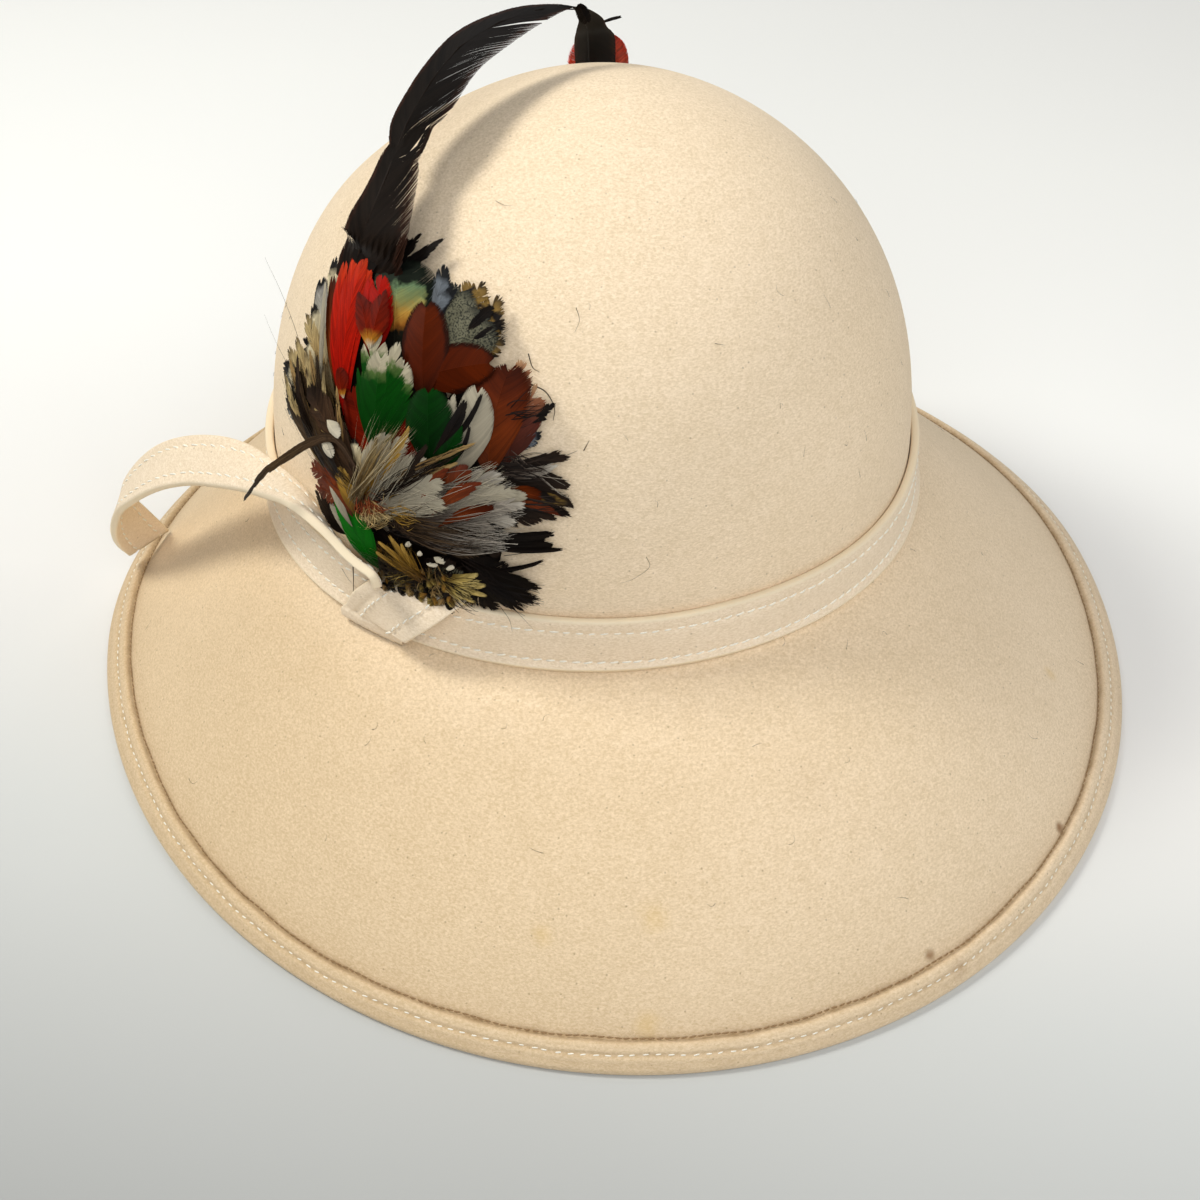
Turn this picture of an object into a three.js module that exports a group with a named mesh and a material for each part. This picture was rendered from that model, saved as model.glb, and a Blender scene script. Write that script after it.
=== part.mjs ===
// A woman's wide-brim felt hat: a round, uncreased crown, a drooping bell brim with a turned-up
// stitched edge, a band of the same felt drawn through a keeper loop, and a feather mount.
//
// Millimetres, +Z up. The hat rests on its brim at Z = 0, its front faces -Y, and the origin is
// under the middle of the brim.

import * as THREE from 'three';

// ---- driving dimensions ------------------------------------------------------------------

// One piece of blocked felt makes the crown and the brim.
const FELT = 2;
const GAP = 0.3;

// The crown is an oval dome. Its foot stands footHeight above the surface that the hat rests on.
// wallPower keeps the sides upright for longer, and roundPower rounds the top over.
const CROWN = {
  x: -4.5,
  y: 17,
  halfWidth: 91,
  halfLength: 93.5,
  height: 113,
  footHeight: 55.5,
  wallPower: 2.8,
  roundPower: 1.87,
};

// The brim's outline is two half ovals, long in front and short behind. fall is the share of the
// drop that is taken evenly from the crown outwards; the rest comes near the edge, as a bell.
const BRIM = { y: 15, halfWidth: 152.5, front: 178, back: 148 };
const FALL = { front: 0.33, side: 1.05, back: 0.8 };
const FOOT_ROUND = 5;

// The brim's edge is folded up on to its top side and stitched down. The fold is FOLD in radius,
// and the felt is flattened by REST_FLAT where it lies on a surface.
const WELT_WIDTH = 10;
const WELT_STEP = 0.4;
const FOLD = FELT;
const REST_FLAT = 0.5;

// Strips of the same felt: the band round the crown, the keeper loop and the long free tail.
const STRIP = { width: 16.5, thickness: 2.4 };
const BAND_TOP = 17;

// How finely the solids are faceted: steps round the hat, rows up the dome, along the brim's
// upper side and along its underside, columns across the keeper and the feather mount, and the
// rows of the edge fold in degrees round it.
const SEGMENTS = 60;
const DOME_ROWS = 10;
const BRIM_ROWS = 6;
const UNDER_ROWS = 5;
const KEEPER_COLUMNS = 4;
const MOUNT_COLUMNS = 8;
const FOLD_TURNS = [0, 35, 70, 105, 120, 135, 150, 180];

// ---- materials ---------------------------------------------------------------------------

function finish(color, roughness) {
  return new THREE.MeshStandardMaterial({ color, roughness, metalness: 0, side: THREE.DoubleSide });
}

const CREAM_FELT = finish(0xe6d3b6, 0.95);
const STRIP_FELT = finish(0xe2cfb4, 0.95);
const MIXED_FEATHER = finish(0x5a3a28, 0.8);
const BLACK_FEATHER = finish(0x1b1512, 0.6);
const RED_FEATHER = finish(0xc8301c, 0.75);

// ---- the felt's outer skin -----------------------------------------------------------------

const TAU = Math.PI * 2;
const radians = THREE.MathUtils.degToRad;

// A point on the dome, rise millimetres above its foot.
function domePoint(angle, rise) {
  const share = THREE.MathUtils.clamp(rise / CROWN.height, 0, 1);
  const size = (1 - share ** CROWN.wallPower) ** (1 / CROWN.roundPower);
  return new THREE.Vector3(
    CROWN.x + CROWN.halfWidth * size * Math.cos(angle),
    CROWN.y + CROWN.halfLength * size * Math.sin(angle),
    CROWN.footHeight + CROWN.height * share,
  );
}

// The middle of the edge fold, one fold radius inside the brim's outline.
function foldPoint(angle) {
  const reach = Math.sin(angle) < 0 ? BRIM.front : BRIM.back;
  return new THREE.Vector3(
    (BRIM.halfWidth - FOLD) * Math.cos(angle),
    BRIM.y + (reach - FOLD) * Math.sin(angle),
    FOLD - REST_FLAT,
  );
}

function brimReach(angle) {
  const foot = domePoint(angle, 0);
  const fold = foldPoint(angle);
  return Math.hypot(fold.x - foot.x, fold.y - foot.y);
}

function evenFall(angle) {
  const end = Math.sin(angle) < 0 ? FALL.front : FALL.back;
  return THREE.MathUtils.lerp(FALL.side, end, Math.sin(angle) ** 2);
}

// A point on the brim, out millimetres (measured level) from the crown's foot.
function brimPoint(angle, out) {
  const share = out / brimReach(angle);
  const even = evenFall(angle);
  const foot = domePoint(angle, 0);
  const fold = foldPoint(angle);
  const point = foot.clone().lerp(fold, share);
  const left = 1 - even * share - (1 - even) * share ** 3;
  point.z = fold.z + (foot.z - fold.z) * left;
  return point;
}

// The whole outer skin in one measure: v is the rise up the crown where it is positive and the
// level distance out along the brim where it is negative. The corner at the foot is rounded.
function skinPoint(angle, v) {
  if (v >= FOOT_ROUND) {
    return domePoint(angle, v);
  }
  if (v <= -FOOT_ROUND) {
    return brimPoint(angle, -v);
  }
  const corner = new THREE.QuadraticBezierCurve3(
    domePoint(angle, FOOT_ROUND),
    domePoint(angle, 0),
    brimPoint(angle, FOOT_ROUND),
  );
  return corner.getPoint((FOOT_ROUND - v) / (2 * FOOT_ROUND));
}

// The direction straight out of the felt.
function skinNormal(angle, v) {
  const step = 0.05;
  const turn = 0.002;
  const top = CROWN.height - step * 4;
  const at = Math.min(v, top);
  const up = skinPoint(angle, at + step).sub(skinPoint(angle, at - step));
  const along = skinPoint(angle + turn, at).sub(skinPoint(angle - turn, at));
  return along.cross(up).normalize();
}

// A point lift millimetres off the skin, or inside the felt where lift is negative.
function offSkin(angle, v, lift) {
  return skinPoint(angle, v).addScaledVector(skinNormal(angle, v), lift);
}

// ---- building closed solids ------------------------------------------------------------------

function solid(name, material, points, faces) {
  const geometry = new THREE.BufferGeometry().setFromPoints(points);
  geometry.setIndex(faces.flat());
  geometry.computeVertexNormals();
  const mesh = new THREE.Mesh(geometry, material);
  mesh.name = name;
  return mesh;
}

// Rings of equal length, one after another, joined into a skin. With closed set, the last ring
// joins the first; otherwise the first and the last are capped from their own middle point.
function loftRings(name, material, rings, closed) {
  const count = rings[0].length;
  const points = rings.flat();
  const faces = [];
  const last = closed ? rings.length : rings.length - 1;
  for (let r = 0; r < last; r += 1) {
    const here = r * count;
    const next = ((r + 1) % rings.length) * count;
    for (let i = 0; i < count; i += 1) {
      const j = (i + 1) % count;
      faces.push([here + i, here + j, next + j]);
      faces.push([here + i, next + j, next + i]);
    }
  }
  if (!closed) {
    const start = points.push(middleOf(rings[0])) - 1;
    const end = points.push(middleOf(rings[rings.length - 1])) - 1;
    const base = (rings.length - 1) * count;
    for (let i = 0; i < count; i += 1) {
      const j = (i + 1) % count;
      faces.push([start, j, i]);
      faces.push([end, base + i, base + j]);
    }
  }
  return solid(name, material, points, faces);
}

function middleOf(ring) {
  const middle = new THREE.Vector3();
  for (const point of ring) {
    middle.addScaledVector(point, 1 / ring.length);
  }
  return middle;
}

function ringAt(v, lift) {
  const ring = [];
  for (let i = 0; i < SEGMENTS; i += 1) {
    const angle = (TAU * i) / SEGMENTS;
    const place = typeof v === 'function' ? v(angle) : v;
    ring.push(offSkin(angle, place, lift));
  }
  return ring;
}

// A patch lying over the crown, built from rows that run round it between two limits. Each
// stands off the felt, is rim thick at both limits and thick in the middle.
function patchSolid(name, material, rows, columns) {
  const rings = rows.map(({ rise, left, right, stand, rim, thick }) => {
    const ring = [];
    for (let c = 0; c <= columns; c += 1) {
      const angle = radians(THREE.MathUtils.lerp(left, right, c / columns));
      const swell = Math.sin((Math.PI * c) / columns);
      ring.push(offSkin(angle, rise, stand + THREE.MathUtils.lerp(rim, thick, swell)));
    }
    for (let c = columns; c >= 0; c -= 1) {
      const angle = radians(THREE.MathUtils.lerp(left, right, c / columns));
      ring.push(offSkin(angle, rise, stand));
    }
    return ring;
  });
  return loftRings(name, material, rings, false);
}

// ---- the felt body: crown, brim and turned-up edge in one piece ------------------------------

// How far out the cut edge of the turned-up felt lies, so that the welt is WELT_WIDTH wide
// along the brim's slope.
function weltStart(angle) {
  const reach = brimReach(angle);
  const even = evenFall(angle);
  const drop = (CROWN.footHeight * (3 - 2 * even)) / reach;
  return reach + FOLD - WELT_WIDTH / Math.hypot(1, drop);
}

// One ring of the rounded fold, turn degrees round from the brim's upper side to its underside.
function foldRing(turn) {
  const ring = [];
  for (let i = 0; i < SEGMENTS; i += 1) {
    const angle = (TAU * i) / SEGMENTS;
    const reach = brimReach(angle);
    const normal = skinNormal(angle, -reach + 0.1);
    const outward = skinPoint(angle, -reach).sub(skinPoint(angle, 1 - reach)).normalize();
    const point = foldPoint(angle);
    point.addScaledVector(normal, FOLD * Math.cos(radians(turn)));
    point.addScaledVector(outward, FOLD * Math.sin(radians(turn)));
    point.z = Math.max(point.z, 0);
    ring.push(point);
  }
  return ring;
}

// Rows down the crown at even steps of the dome's own angle, from just under the top.
function domeRises() {
  const rises = [];
  for (let r = 1; r <= DOME_ROWS; r += 1) {
    const lean = radians((90 * r) / (DOME_ROWS + 1));
    rises.push(Math.max(CROWN.height * Math.cos(lean), FOOT_ROUND * 2));
  }
  return rises;
}

const FOOT_ROWS = [FOOT_ROUND, FOOT_ROUND / 3, -FOOT_ROUND / 3, -FOOT_ROUND];

function feltBody() {
  const rises = domeRises();
  const rings = [];
  for (const rise of rises) {
    rings.push(ringAt(rise, 0));
  }
  for (const row of FOOT_ROWS) {
    rings.push(ringAt(row, 0));
  }
  for (let r = 1; r <= BRIM_ROWS; r += 1) {
    const share = r / BRIM_ROWS;
    rings.push(ringAt((angle) => -THREE.MathUtils.lerp(FOOT_ROUND, weltStart(angle), share), 0));
  }
  rings.push(ringAt((angle) => -weltStart(angle) - WELT_STEP, FELT));
  for (const turn of FOLD_TURNS) {
    rings.push(foldRing(turn));
  }
  for (let r = UNDER_ROWS - 1; r >= 1; r -= 1) {
    const share = r / UNDER_ROWS;
    rings.push(ringAt((angle) => -THREE.MathUtils.lerp(FOOT_ROUND, brimReach(angle), share), -FELT));
  }
  for (const row of [...FOOT_ROWS].reverse()) {
    rings.push(ringAt(row, -FELT));
  }
  for (const rise of [...rises].reverse()) {
    rings.push(ringAt(rise, -FELT));
  }
  return closeAtTop('felt_body', CREAM_FELT, rings);
}

// The first ring closes to the outer top point, and the last to the inner one.
function closeAtTop(name, material, rings) {
  const points = rings.flat();
  const faces = [];
  for (let r = 0; r + 1 < rings.length; r += 1) {
    for (let i = 0; i < SEGMENTS; i += 1) {
      const j = (i + 1) % SEGMENTS;
      const here = r * SEGMENTS;
      const next = here + SEGMENTS;
      faces.push([here + i, next + i, next + j]);
      faces.push([here + i, next + j, here + j]);
    }
  }
  const top = domePoint(0, CROWN.height);
  const outer = points.push(top) - 1;
  const inner = points.push(top.clone().setZ(top.z - FELT)) - 1;
  const base = (rings.length - 1) * SEGMENTS;
  for (let i = 0; i < SEGMENTS; i += 1) {
    const j = (i + 1) % SEGMENTS;
    faces.push([outer, i, j]);
    faces.push([inner, base + j, base + i]);
  }
  return solid(name, material, points, faces);
}

// ---- the band round the crown --------------------------------------------------------------

function hatBand() {
  const rows = [FOOT_ROWS[2], FOOT_ROWS[1], FOOT_ROUND, FOOT_ROUND * 2, BAND_TOP];
  const rings = [];
  for (const row of rows) {
    rings.push(ringAt(row, GAP + STRIP.thickness));
  }
  for (const row of [...rows].reverse()) {
    rings.push(ringAt(row, GAP));
  }
  return loftRings('hat_band', STRIP_FELT, rings, true);
}

// ---- the keeper loop and the tail --------------------------------------------------------------

// The keeper loop runs from the brim up over the band's face to just above it, on a slant. Its
// columns are the rise of each row, its limits round the crown in degrees, and how far its inner
// face stands off the felt.
const KEEPER = [
  { rise: -5.6, left: 219.6, right: 231.5, stand: 0.4 },
  { rise: -4, left: 219.9, right: 232, stand: 1.4 },
  { rise: -2.2, left: 220.2, right: 232.6, stand: 3 },
  { rise: 0, left: 220.6, right: 233.2, stand: 3.2 },
  { rise: 3.5, left: 221.4, right: 234.4, stand: 3.4 },
  { rise: 8, left: 222.8, right: 236.6, stand: 3.5 },
  { rise: 13, left: 225, right: 239.6, stand: 3.5 },
  { rise: 17.6, left: 227.4, right: 242, stand: 3.2 },
  { rise: 19.2, left: 228.6, right: 243, stand: 1.8 },
  { rise: 20.8, left: 229.8, right: 243.5, stand: 0.4 },
];

function keeperLoop() {
  const rows = KEEPER.map((row) => ({ ...row, rim: STRIP.thickness, thick: STRIP.thickness }));
  return patchSolid('band_keeper', STRIP_FELT, rows, KEEPER_COLUMNS);
}

// The tail is the band's free end. It comes out of the keeper leaning away from the crown like a
// collar, turns level as it leaves the crown, arches over the brim and curls under until its end
// meets the brim. Its columns are the places of its outer and inner edges.
const TAIL = [
  { outer: [-71.5, -63, 82], inner: [-71.7, -51, 73.5] },
  { outer: [-74.8, -59.7, 83.3], inner: [-75.2, -47.2, 73.8] },
  { outer: [-77.8, -55.5, 84.1], inner: [-78.2, -42.8, 74.4] },
  { outer: [-80.5, -51, 85], inner: [-82, -36.5, 77.5] },
  { outer: [-83.5, -47, 86.3], inner: [-84, -32.2, 79.8] },
  { outer: [-87.5, -41, 86.6], inner: [-87.2, -25.3, 82] },
  { outer: [-92, -33, 84.5], inner: [-91.2, -17, 82] },
  { outer: [-97.1, -24.6, 81], inner: [-94.8, -8.5, 80.5] },
  { outer: [-103.6, -15, 76.8], inner: [-101, 0.7, 80] },
  { outer: [-111.1, -6, 72.5], inner: [-109, 9, 78] },
  { outer: [-118.9, 2, 68.2], inner: [-118, 17.5, 73.5] },
  { outer: [-126.5, 9, 63], inner: [-126.6, 24.8, 67] },
  { outer: [-133, 15, 57], inner: [-133.5, 31.2, 58.5] },
  { outer: [-138.8, 21, 50], inner: [-139.4, 37, 48.5] },
  { outer: [-143.4, 27.5, 42.5], inner: [-142.5, 43, 39.5] },
  { outer: [-146.2, 33.5, 34], inner: [-142, 47.8, 32.5] },
  { outer: [-147.6, 38.5, 26], inner: [-139.8, 51, 26] },
  { outer: [-147.6, 43.3, 18], inner: [-137.2, 54.8, 19] },
  { outer: [-146.2, 47.5, 11.8], inner: [-134.8, 58.2, 12] },
];

// A strip of felt through its stations. Each has the middle of the strip and the direction of
// its width; its thickness is square to both that and the strip's run.
function stripSolid(name, material, stations) {
  const rings = stations.map(({ middle, across }, i) => {
    const before = stations[Math.max(i - 1, 0)].middle;
    const after = stations[Math.min(i + 1, stations.length - 1)].middle;
    const face = after.clone().sub(before).cross(across).normalize();
    const side = across.clone().multiplyScalar(STRIP.width / 2);
    const half = face.multiplyScalar(STRIP.thickness / 2);
    return [
      middle.clone().sub(side).sub(half),
      middle.clone().add(side).sub(half),
      middle.clone().add(side).add(half),
      middle.clone().sub(side).add(half),
    ];
  });
  return loftRings(name, material, rings, false);
}

function bandTail() {
  const stations = TAIL.map((row) => {
    const outer = new THREE.Vector3(...row.outer);
    const inner = new THREE.Vector3(...row.inner);
    const across = inner.clone().sub(outer).normalize();
    return { middle: outer.lerp(inner, 0.5), across };
  });
  return stripSolid('band_tail', STRIP_FELT, stations);
}

// ---- feathers --------------------------------------------------------------------------------

// The feather mount's outer form, row by row up the crown: its left and right limits in degrees
// round the crown, how far it stands off the felt, and how thick it is in the middle.
const MOUNT = [
  { rise: 23, left: 233, right: 252, stand: 0.8, thick: 5 },
  { rise: 31, left: 225, right: 255, stand: 0.8, thick: 8 },
  { rise: 41, left: 217, right: 257, stand: 0.8, thick: 10 },
  { rise: 50, left: 209, right: 259, stand: 0.8, thick: 11 },
  { rise: 60, left: 204, right: 259, stand: 0.8, thick: 11 },
  { rise: 70, left: 201, right: 256, stand: 0.8, thick: 10 },
  { rise: 80, left: 200, right: 250, stand: 0.8, thick: 8 },
  { rise: 88, left: 201, right: 243, stand: 0.8, thick: 7 },
  { rise: 94, left: 207, right: 233, stand: 0.8, thick: 5 },
];
const MOUNT_RIM = 1.2;

function featherMount() {
  const rows = MOUNT.map((row) => ({ ...row, rim: MOUNT_RIM }));
  return patchSolid('feather_mount', MIXED_FEATHER, rows, MOUNT_COLUMNS);
}

// A feather's outer form: a lens-shaped section, half wide each side of its quill, through the
// places in its table. Its flat side looks up and, by its lean, forward or back.
function featherSolid(name, material, table) {
  const middles = table.map(({ side, back, up }) => new THREE.Vector3(side, back, up));
  const rings = table.map(({ half, lean }, i) => {
    const before = middles[Math.max(i - 1, 0)];
    const after = middles[Math.min(i + 1, middles.length - 1)];
    const along = after.clone().sub(before).normalize();
    const facing = new THREE.Vector3(0, Math.sin(radians(lean)), Math.cos(radians(lean)));
    const across = facing.cross(along).normalize();
    const face = along.clone().cross(across).normalize();
    return [
      middles[i].clone().addScaledVector(across, -half),
      middles[i].clone().addScaledVector(face, -FEATHER_THICKNESS / 2),
      middles[i].clone().addScaledVector(across, half),
      middles[i].clone().addScaledVector(face, FEATHER_THICKNESS / 2),
    ];
  });
  return loftRings(name, material, rings, false);
}

const FEATHER_THICKNESS = 1.6;

// The long black tail feather arches over the crown. It is bent sharply near its end, and the
// end hangs down behind the crown. Its columns are the quill's place, half the vane's width, and
// how far its flat side leans back, in degrees.
const PLUME = [
  { side: -65, back: -21, up: 151, half: 5.5, lean: -49 },
  { side: -63, back: -17.5, up: 155.5, half: 7, lean: -49 },
  { side: -59.5, back: -12, up: 160.5, half: 7, lean: -49 },
  { side: -56, back: -3, up: 167, half: 6, lean: -49 },
  { side: -50, back: 6, up: 172.5, half: 5.5, lean: -45 },
  { side: -42, back: 17, up: 177, half: 6.5, lean: -40 },
  { side: -33, back: 26, up: 180, half: 6, lean: -35 },
  { side: -22.5, back: 34, up: 181.5, half: 4.5, lean: -25 },
  { side: -13, back: 40, up: 181.5, half: 2.5, lean: -15 },
  { side: -5, back: 45, up: 180, half: 1.5, lean: 10 },
  { side: 1, back: 55, up: 173, half: 4.5, lean: 35 },
  { side: 4, back: 67, up: 163.5, half: 6.5, lean: 45 },
  { side: 6, back: 78, up: 153.5, half: 6, lean: 47 },
  { side: 8, back: 89, up: 143, half: 3, lean: 50 },
];

// The red dyed hackle lies under the plume's bent end, between it and the crown.
const HACKLE = [
  { side: 3.5, back: 67, up: 158.6, half: 5, lean: 40 },
  { side: 4.5, back: 75.9, up: 152.4, half: 10, lean: 45 },
  { side: 6, back: 86.2, up: 143, half: 10, lean: 52 },
  { side: 7.5, back: 94, up: 134, half: 5, lean: 60 },
];

// ---- the hat ---------------------------------------------------------------------------------

const hat = new THREE.Group();
hat.add(feltBody());
hat.add(hatBand());
hat.add(keeperLoop());
hat.add(bandTail());
hat.add(featherMount());
hat.add(featherSolid('plume', BLACK_FEATHER, PLUME));
hat.add(featherSolid('red_hackle', RED_FEATHER, HACKLE));

export default hat;
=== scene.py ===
# %% [markdown]
# # A felt hat with a feather mount
# This lesson builds a woman's hat: a crown and brim blocked from one piece of cream wool felt,
# a stitched band and keeper of the same felt, and a mount of real bird feathers. The packed
# model gives every piece its place. Each step says what the piece is on the real hat, then
# makes it. Lengths are in millimetres here, and become metres when a mesh is made.

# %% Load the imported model
import math

import bpy
import numpy as np
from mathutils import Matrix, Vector


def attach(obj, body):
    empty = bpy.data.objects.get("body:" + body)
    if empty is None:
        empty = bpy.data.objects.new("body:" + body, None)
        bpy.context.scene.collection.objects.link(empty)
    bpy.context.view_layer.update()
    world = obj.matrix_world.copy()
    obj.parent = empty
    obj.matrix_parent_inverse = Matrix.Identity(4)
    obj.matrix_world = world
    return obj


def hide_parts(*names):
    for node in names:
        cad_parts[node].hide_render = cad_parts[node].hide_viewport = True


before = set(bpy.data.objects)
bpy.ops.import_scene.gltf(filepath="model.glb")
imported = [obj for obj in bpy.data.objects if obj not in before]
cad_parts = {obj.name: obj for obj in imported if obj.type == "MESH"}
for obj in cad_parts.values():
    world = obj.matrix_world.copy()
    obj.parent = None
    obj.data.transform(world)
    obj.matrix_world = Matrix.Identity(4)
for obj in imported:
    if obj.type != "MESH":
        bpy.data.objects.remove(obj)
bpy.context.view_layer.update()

print("CAD nodes:", sorted(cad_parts))

# %% [markdown]
# ## Colours and nodes
# Colours are written as sRGB hex, the way a colour picker gives them. Blender computes in
# linear light, so one function turns them. Another adds a shader node with its settings and
# its inputs: an input that is a node is linked, and anything else is set as a value.

# %% Colour and node helpers
def linear(hex_colour):
    """The linear colour, with a full alpha, of an sRGB hex value."""
    shares = [int(hex_colour[i : i + 2], 16) / 255 for i in (1, 3, 5)]
    return (*[s / 12.92 if s <= 0.04045 else ((s + 0.055) / 1.055) ** 2.4 for s in shares], 1.0)


def add_node(material, kind, settings=None, **inputs):
    """Adds a shader node. A socket's name is written with _ for a space."""
    tree = material.node_tree
    node = tree.nodes.new("ShaderNode" + kind)
    for name, value in (settings or {}).items():
        if name == "stops":
            while len(node.color_ramp.elements) < len(value):
                node.color_ramp.elements.new(0.5)
            for element, (place, colour) in zip(node.color_ramp.elements, value):
                element.position = place
                element.color = linear(colour)
        else:
            setattr(node, name, value)
    for name, value in inputs.items():
        wanted = name.replace("_", " ")
        sockets = [s for s in node.inputs if s.enabled and s.name == wanted]
        if not sockets and wanted.split()[-1].isdigit():
            sockets = [node.inputs[int(wanted.split()[-1])]]
        if isinstance(value, bpy.types.Node):
            value = next(o for o in value.outputs if o.enabled)
        if isinstance(value, bpy.types.NodeSocket):
            tree.links.new(value, sockets[0])
        else:
            sockets[0].default_value = value
    return node


TIMES = {"operation": "MULTIPLY"}
TIMES_PLUS = {"operation": "MULTIPLY_ADD"}  # Value_0 times Value_1 plus Value_2
MINUS = {"operation": "SUBTRACT"}
COLOURS = {"data_type": "RGBA"}  # a Mix node that mixes colours


def new_material(name):
    """A material with no nodes but its output."""
    material = bpy.data.materials.new(name)
    material.use_nodes = True
    material.node_tree.nodes.clear()
    return material


print("cream is", [round(c, 3) for c in linear("#F3E2C2")])

# %% [markdown]
# ## Working with arrays of points
# Most pieces follow a line: a row of stitches, a tail, a feather's shaft. A few helpers do the
# sums that come back each time, on whole numpy arrays at once, which is fast in Python.

# %% Helpers for lines of points
def unit(vectors):
    """The same directions, each one long."""
    return vectors / np.linalg.norm(vectors, axis=-1, keepdims=True)


def step_lengths(line):
    """The distance from each point of a line to the next."""
    return np.linalg.norm(np.diff(line, axis=0), axis=1)


def distances(line):
    """How far along a line each of its points is."""
    return np.concatenate([[0], np.cumsum(step_lengths(line))])


def at_distance(at, steps, line):
    """Points, or directions, at some distances along a line whose own distances are steps."""
    return np.stack([np.interp(at, steps, line[:, k]) for k in range(3)], -1)


def pulled_curve(start, pull, end, t):
    """A curve from start to end, pulled towards a third point. t goes from 0 to 1."""
    return start * (1 - t) ** 2 + pull * 2 * t * (1 - t) + end * t**2


def smooth_between(rows, count):
    """A smooth run through the rows of a short table, in count even steps."""
    rows = np.asarray(rows, float)
    padded = np.vstack([2 * rows[0] - rows[1], rows, 2 * rows[-1] - rows[-2]])
    place = np.linspace(0, len(rows) - 1, count)
    i = np.minimum(place.astype(int), len(rows) - 2)
    t = (place - i)[:, None]
    a, b, c, d = (padded[i + k] for k in range(4))
    return 0.5 * (
        2 * b + (c - a) * t + (2 * a - 5 * b + 4 * c - d) * t**2 + (3 * b - a - 3 * c + d) * t**3
    )


print("a square's corner is", distances(np.array([(0, 0, 0), (1, 0, 0), (1, 1, 0)]))[-1], "away by its sides")

# %% [markdown]
# ## The felt's shape
# A hatter steams a felt cone and pulls it over a wooden block. The block is smooth, so the
# crown is an oval dome and the brim is a bell, each from a few sizes. These functions give a
# point on the felt for an angle round the hat and a measure v: the rise up the crown where v
# is positive, and the level distance out along the brim where it is negative. An old felt
# also has slow waves of a fraction of a millimetre and a shallow dent, which keep the light
# on it from looking computed.

# %% Sizes of the felt
FELT = 2.0  # thickness
CROWN = dict(
    x=-4.5, y=17.0, half_width=91.0, half_length=93.5, height=113.0, foot=55.5,
    wall_power=2.8, round_power=1.87,  # higher powers make a straighter wall and a flatter top
)
BRIM = dict(y=15.0, half_width=152.5, front=178.0, back=148.0)
FALL = dict(front=0.33, side=1.05, back=0.8)  # how evenly the brim drops; 1 is a straight slope
FOOT_ROUND = 5.0  # the rounded corner between crown and brim reaches this far up and out
REST_FLAT = 0.5  # how much of the round fold is flattened by resting on it
WELT_WIDTH = 10.0  # the turned-up edge, along the felt
DENT = dict(x=-36.0, y=46.0, z=152.0, reach=30.0, depth=3.2)
WAVE_FADE = 40.0  # the old felt's waves die away over this distance from the edge
NEAR = 0.05  # half the step along the felt that a direction is measured over
NEAR_ANGLE = 0.002  # the same round the hat, in radians


def dome_point(angle, rise):
    """A point on the crown, rise above its foot."""
    share = np.clip(rise / CROWN["height"], 0, 1)
    size = np.maximum(1 - share ** CROWN["wall_power"], 0) ** (1 / CROWN["round_power"])
    x = CROWN["x"] + CROWN["half_width"] * size * np.cos(angle)
    y = CROWN["y"] + CROWN["half_length"] * size * np.sin(angle)
    return np.stack([x, y, CROWN["foot"] + CROWN["height"] * share], axis=-1)


def fold_point(angle):
    """The middle of the folded edge."""
    reach = np.where(np.sin(angle) < 0, BRIM["front"], BRIM["back"])
    x = (BRIM["half_width"] - FELT) * np.cos(angle)
    y = BRIM["y"] + (reach - FELT) * np.sin(angle)
    return np.stack([x, y, np.full_like(x, FELT - REST_FLAT)], axis=-1)


def brim_reach(angle):
    """The level distance from the crown's foot to the folded edge."""
    across = fold_point(angle) - dome_point(angle, 0 * angle)
    return np.hypot(across[..., 0], across[..., 1])


def even_fall(angle):
    """The share of the brim's drop that is even; the rest comes near the edge."""
    end = np.where(np.sin(angle) < 0, FALL["front"], FALL["back"])
    return FALL["side"] + (end - FALL["side"]) * np.sin(angle) ** 2


def brim_point(angle, out):
    """A point on the brim, out from the crown's foot."""
    share = (out / brim_reach(angle))[..., None]
    even = even_fall(angle)[..., None]
    foot, fold = dome_point(angle, 0 * angle), fold_point(angle)
    point = foot + (fold - foot) * share
    left = 1 - even * share - (1 - even) * share**3
    point[..., 2:] = fold[..., 2:] + (foot - fold)[..., 2:] * left
    return point


def block_point(angle, v):
    """A point on the felt as it left the block, before any unevenness."""
    angle, v = np.broadcast_arrays(np.asarray(angle, float), np.asarray(v, float))
    t = np.clip((FOOT_ROUND - v) / (2 * FOOT_ROUND), 0, 1)[..., None]
    high, foot = dome_point(angle, 0 * v + FOOT_ROUND), dome_point(angle, 0 * v)
    low = brim_point(angle, 0 * v + FOOT_ROUND)
    corner = pulled_curve(high, foot, low, t)
    dome = dome_point(angle, np.maximum(v, 0))
    brim = brim_point(angle, np.maximum(-v, 0))
    below = np.where((v <= -FOOT_ROUND)[..., None], brim, corner)
    return np.where((v >= FOOT_ROUND)[..., None], dome, below)


def felt_normal(angle, v):
    """The direction straight out of the felt."""
    at = np.minimum(v, CROWN["height"] - 4 * NEAR)
    up = block_point(angle, at + NEAR) - block_point(angle, at - NEAR)
    along = block_point(angle + NEAR_ANGLE, at) - block_point(angle - NEAR_ANGLE, at)
    return unit(np.cross(along, up))


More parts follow.
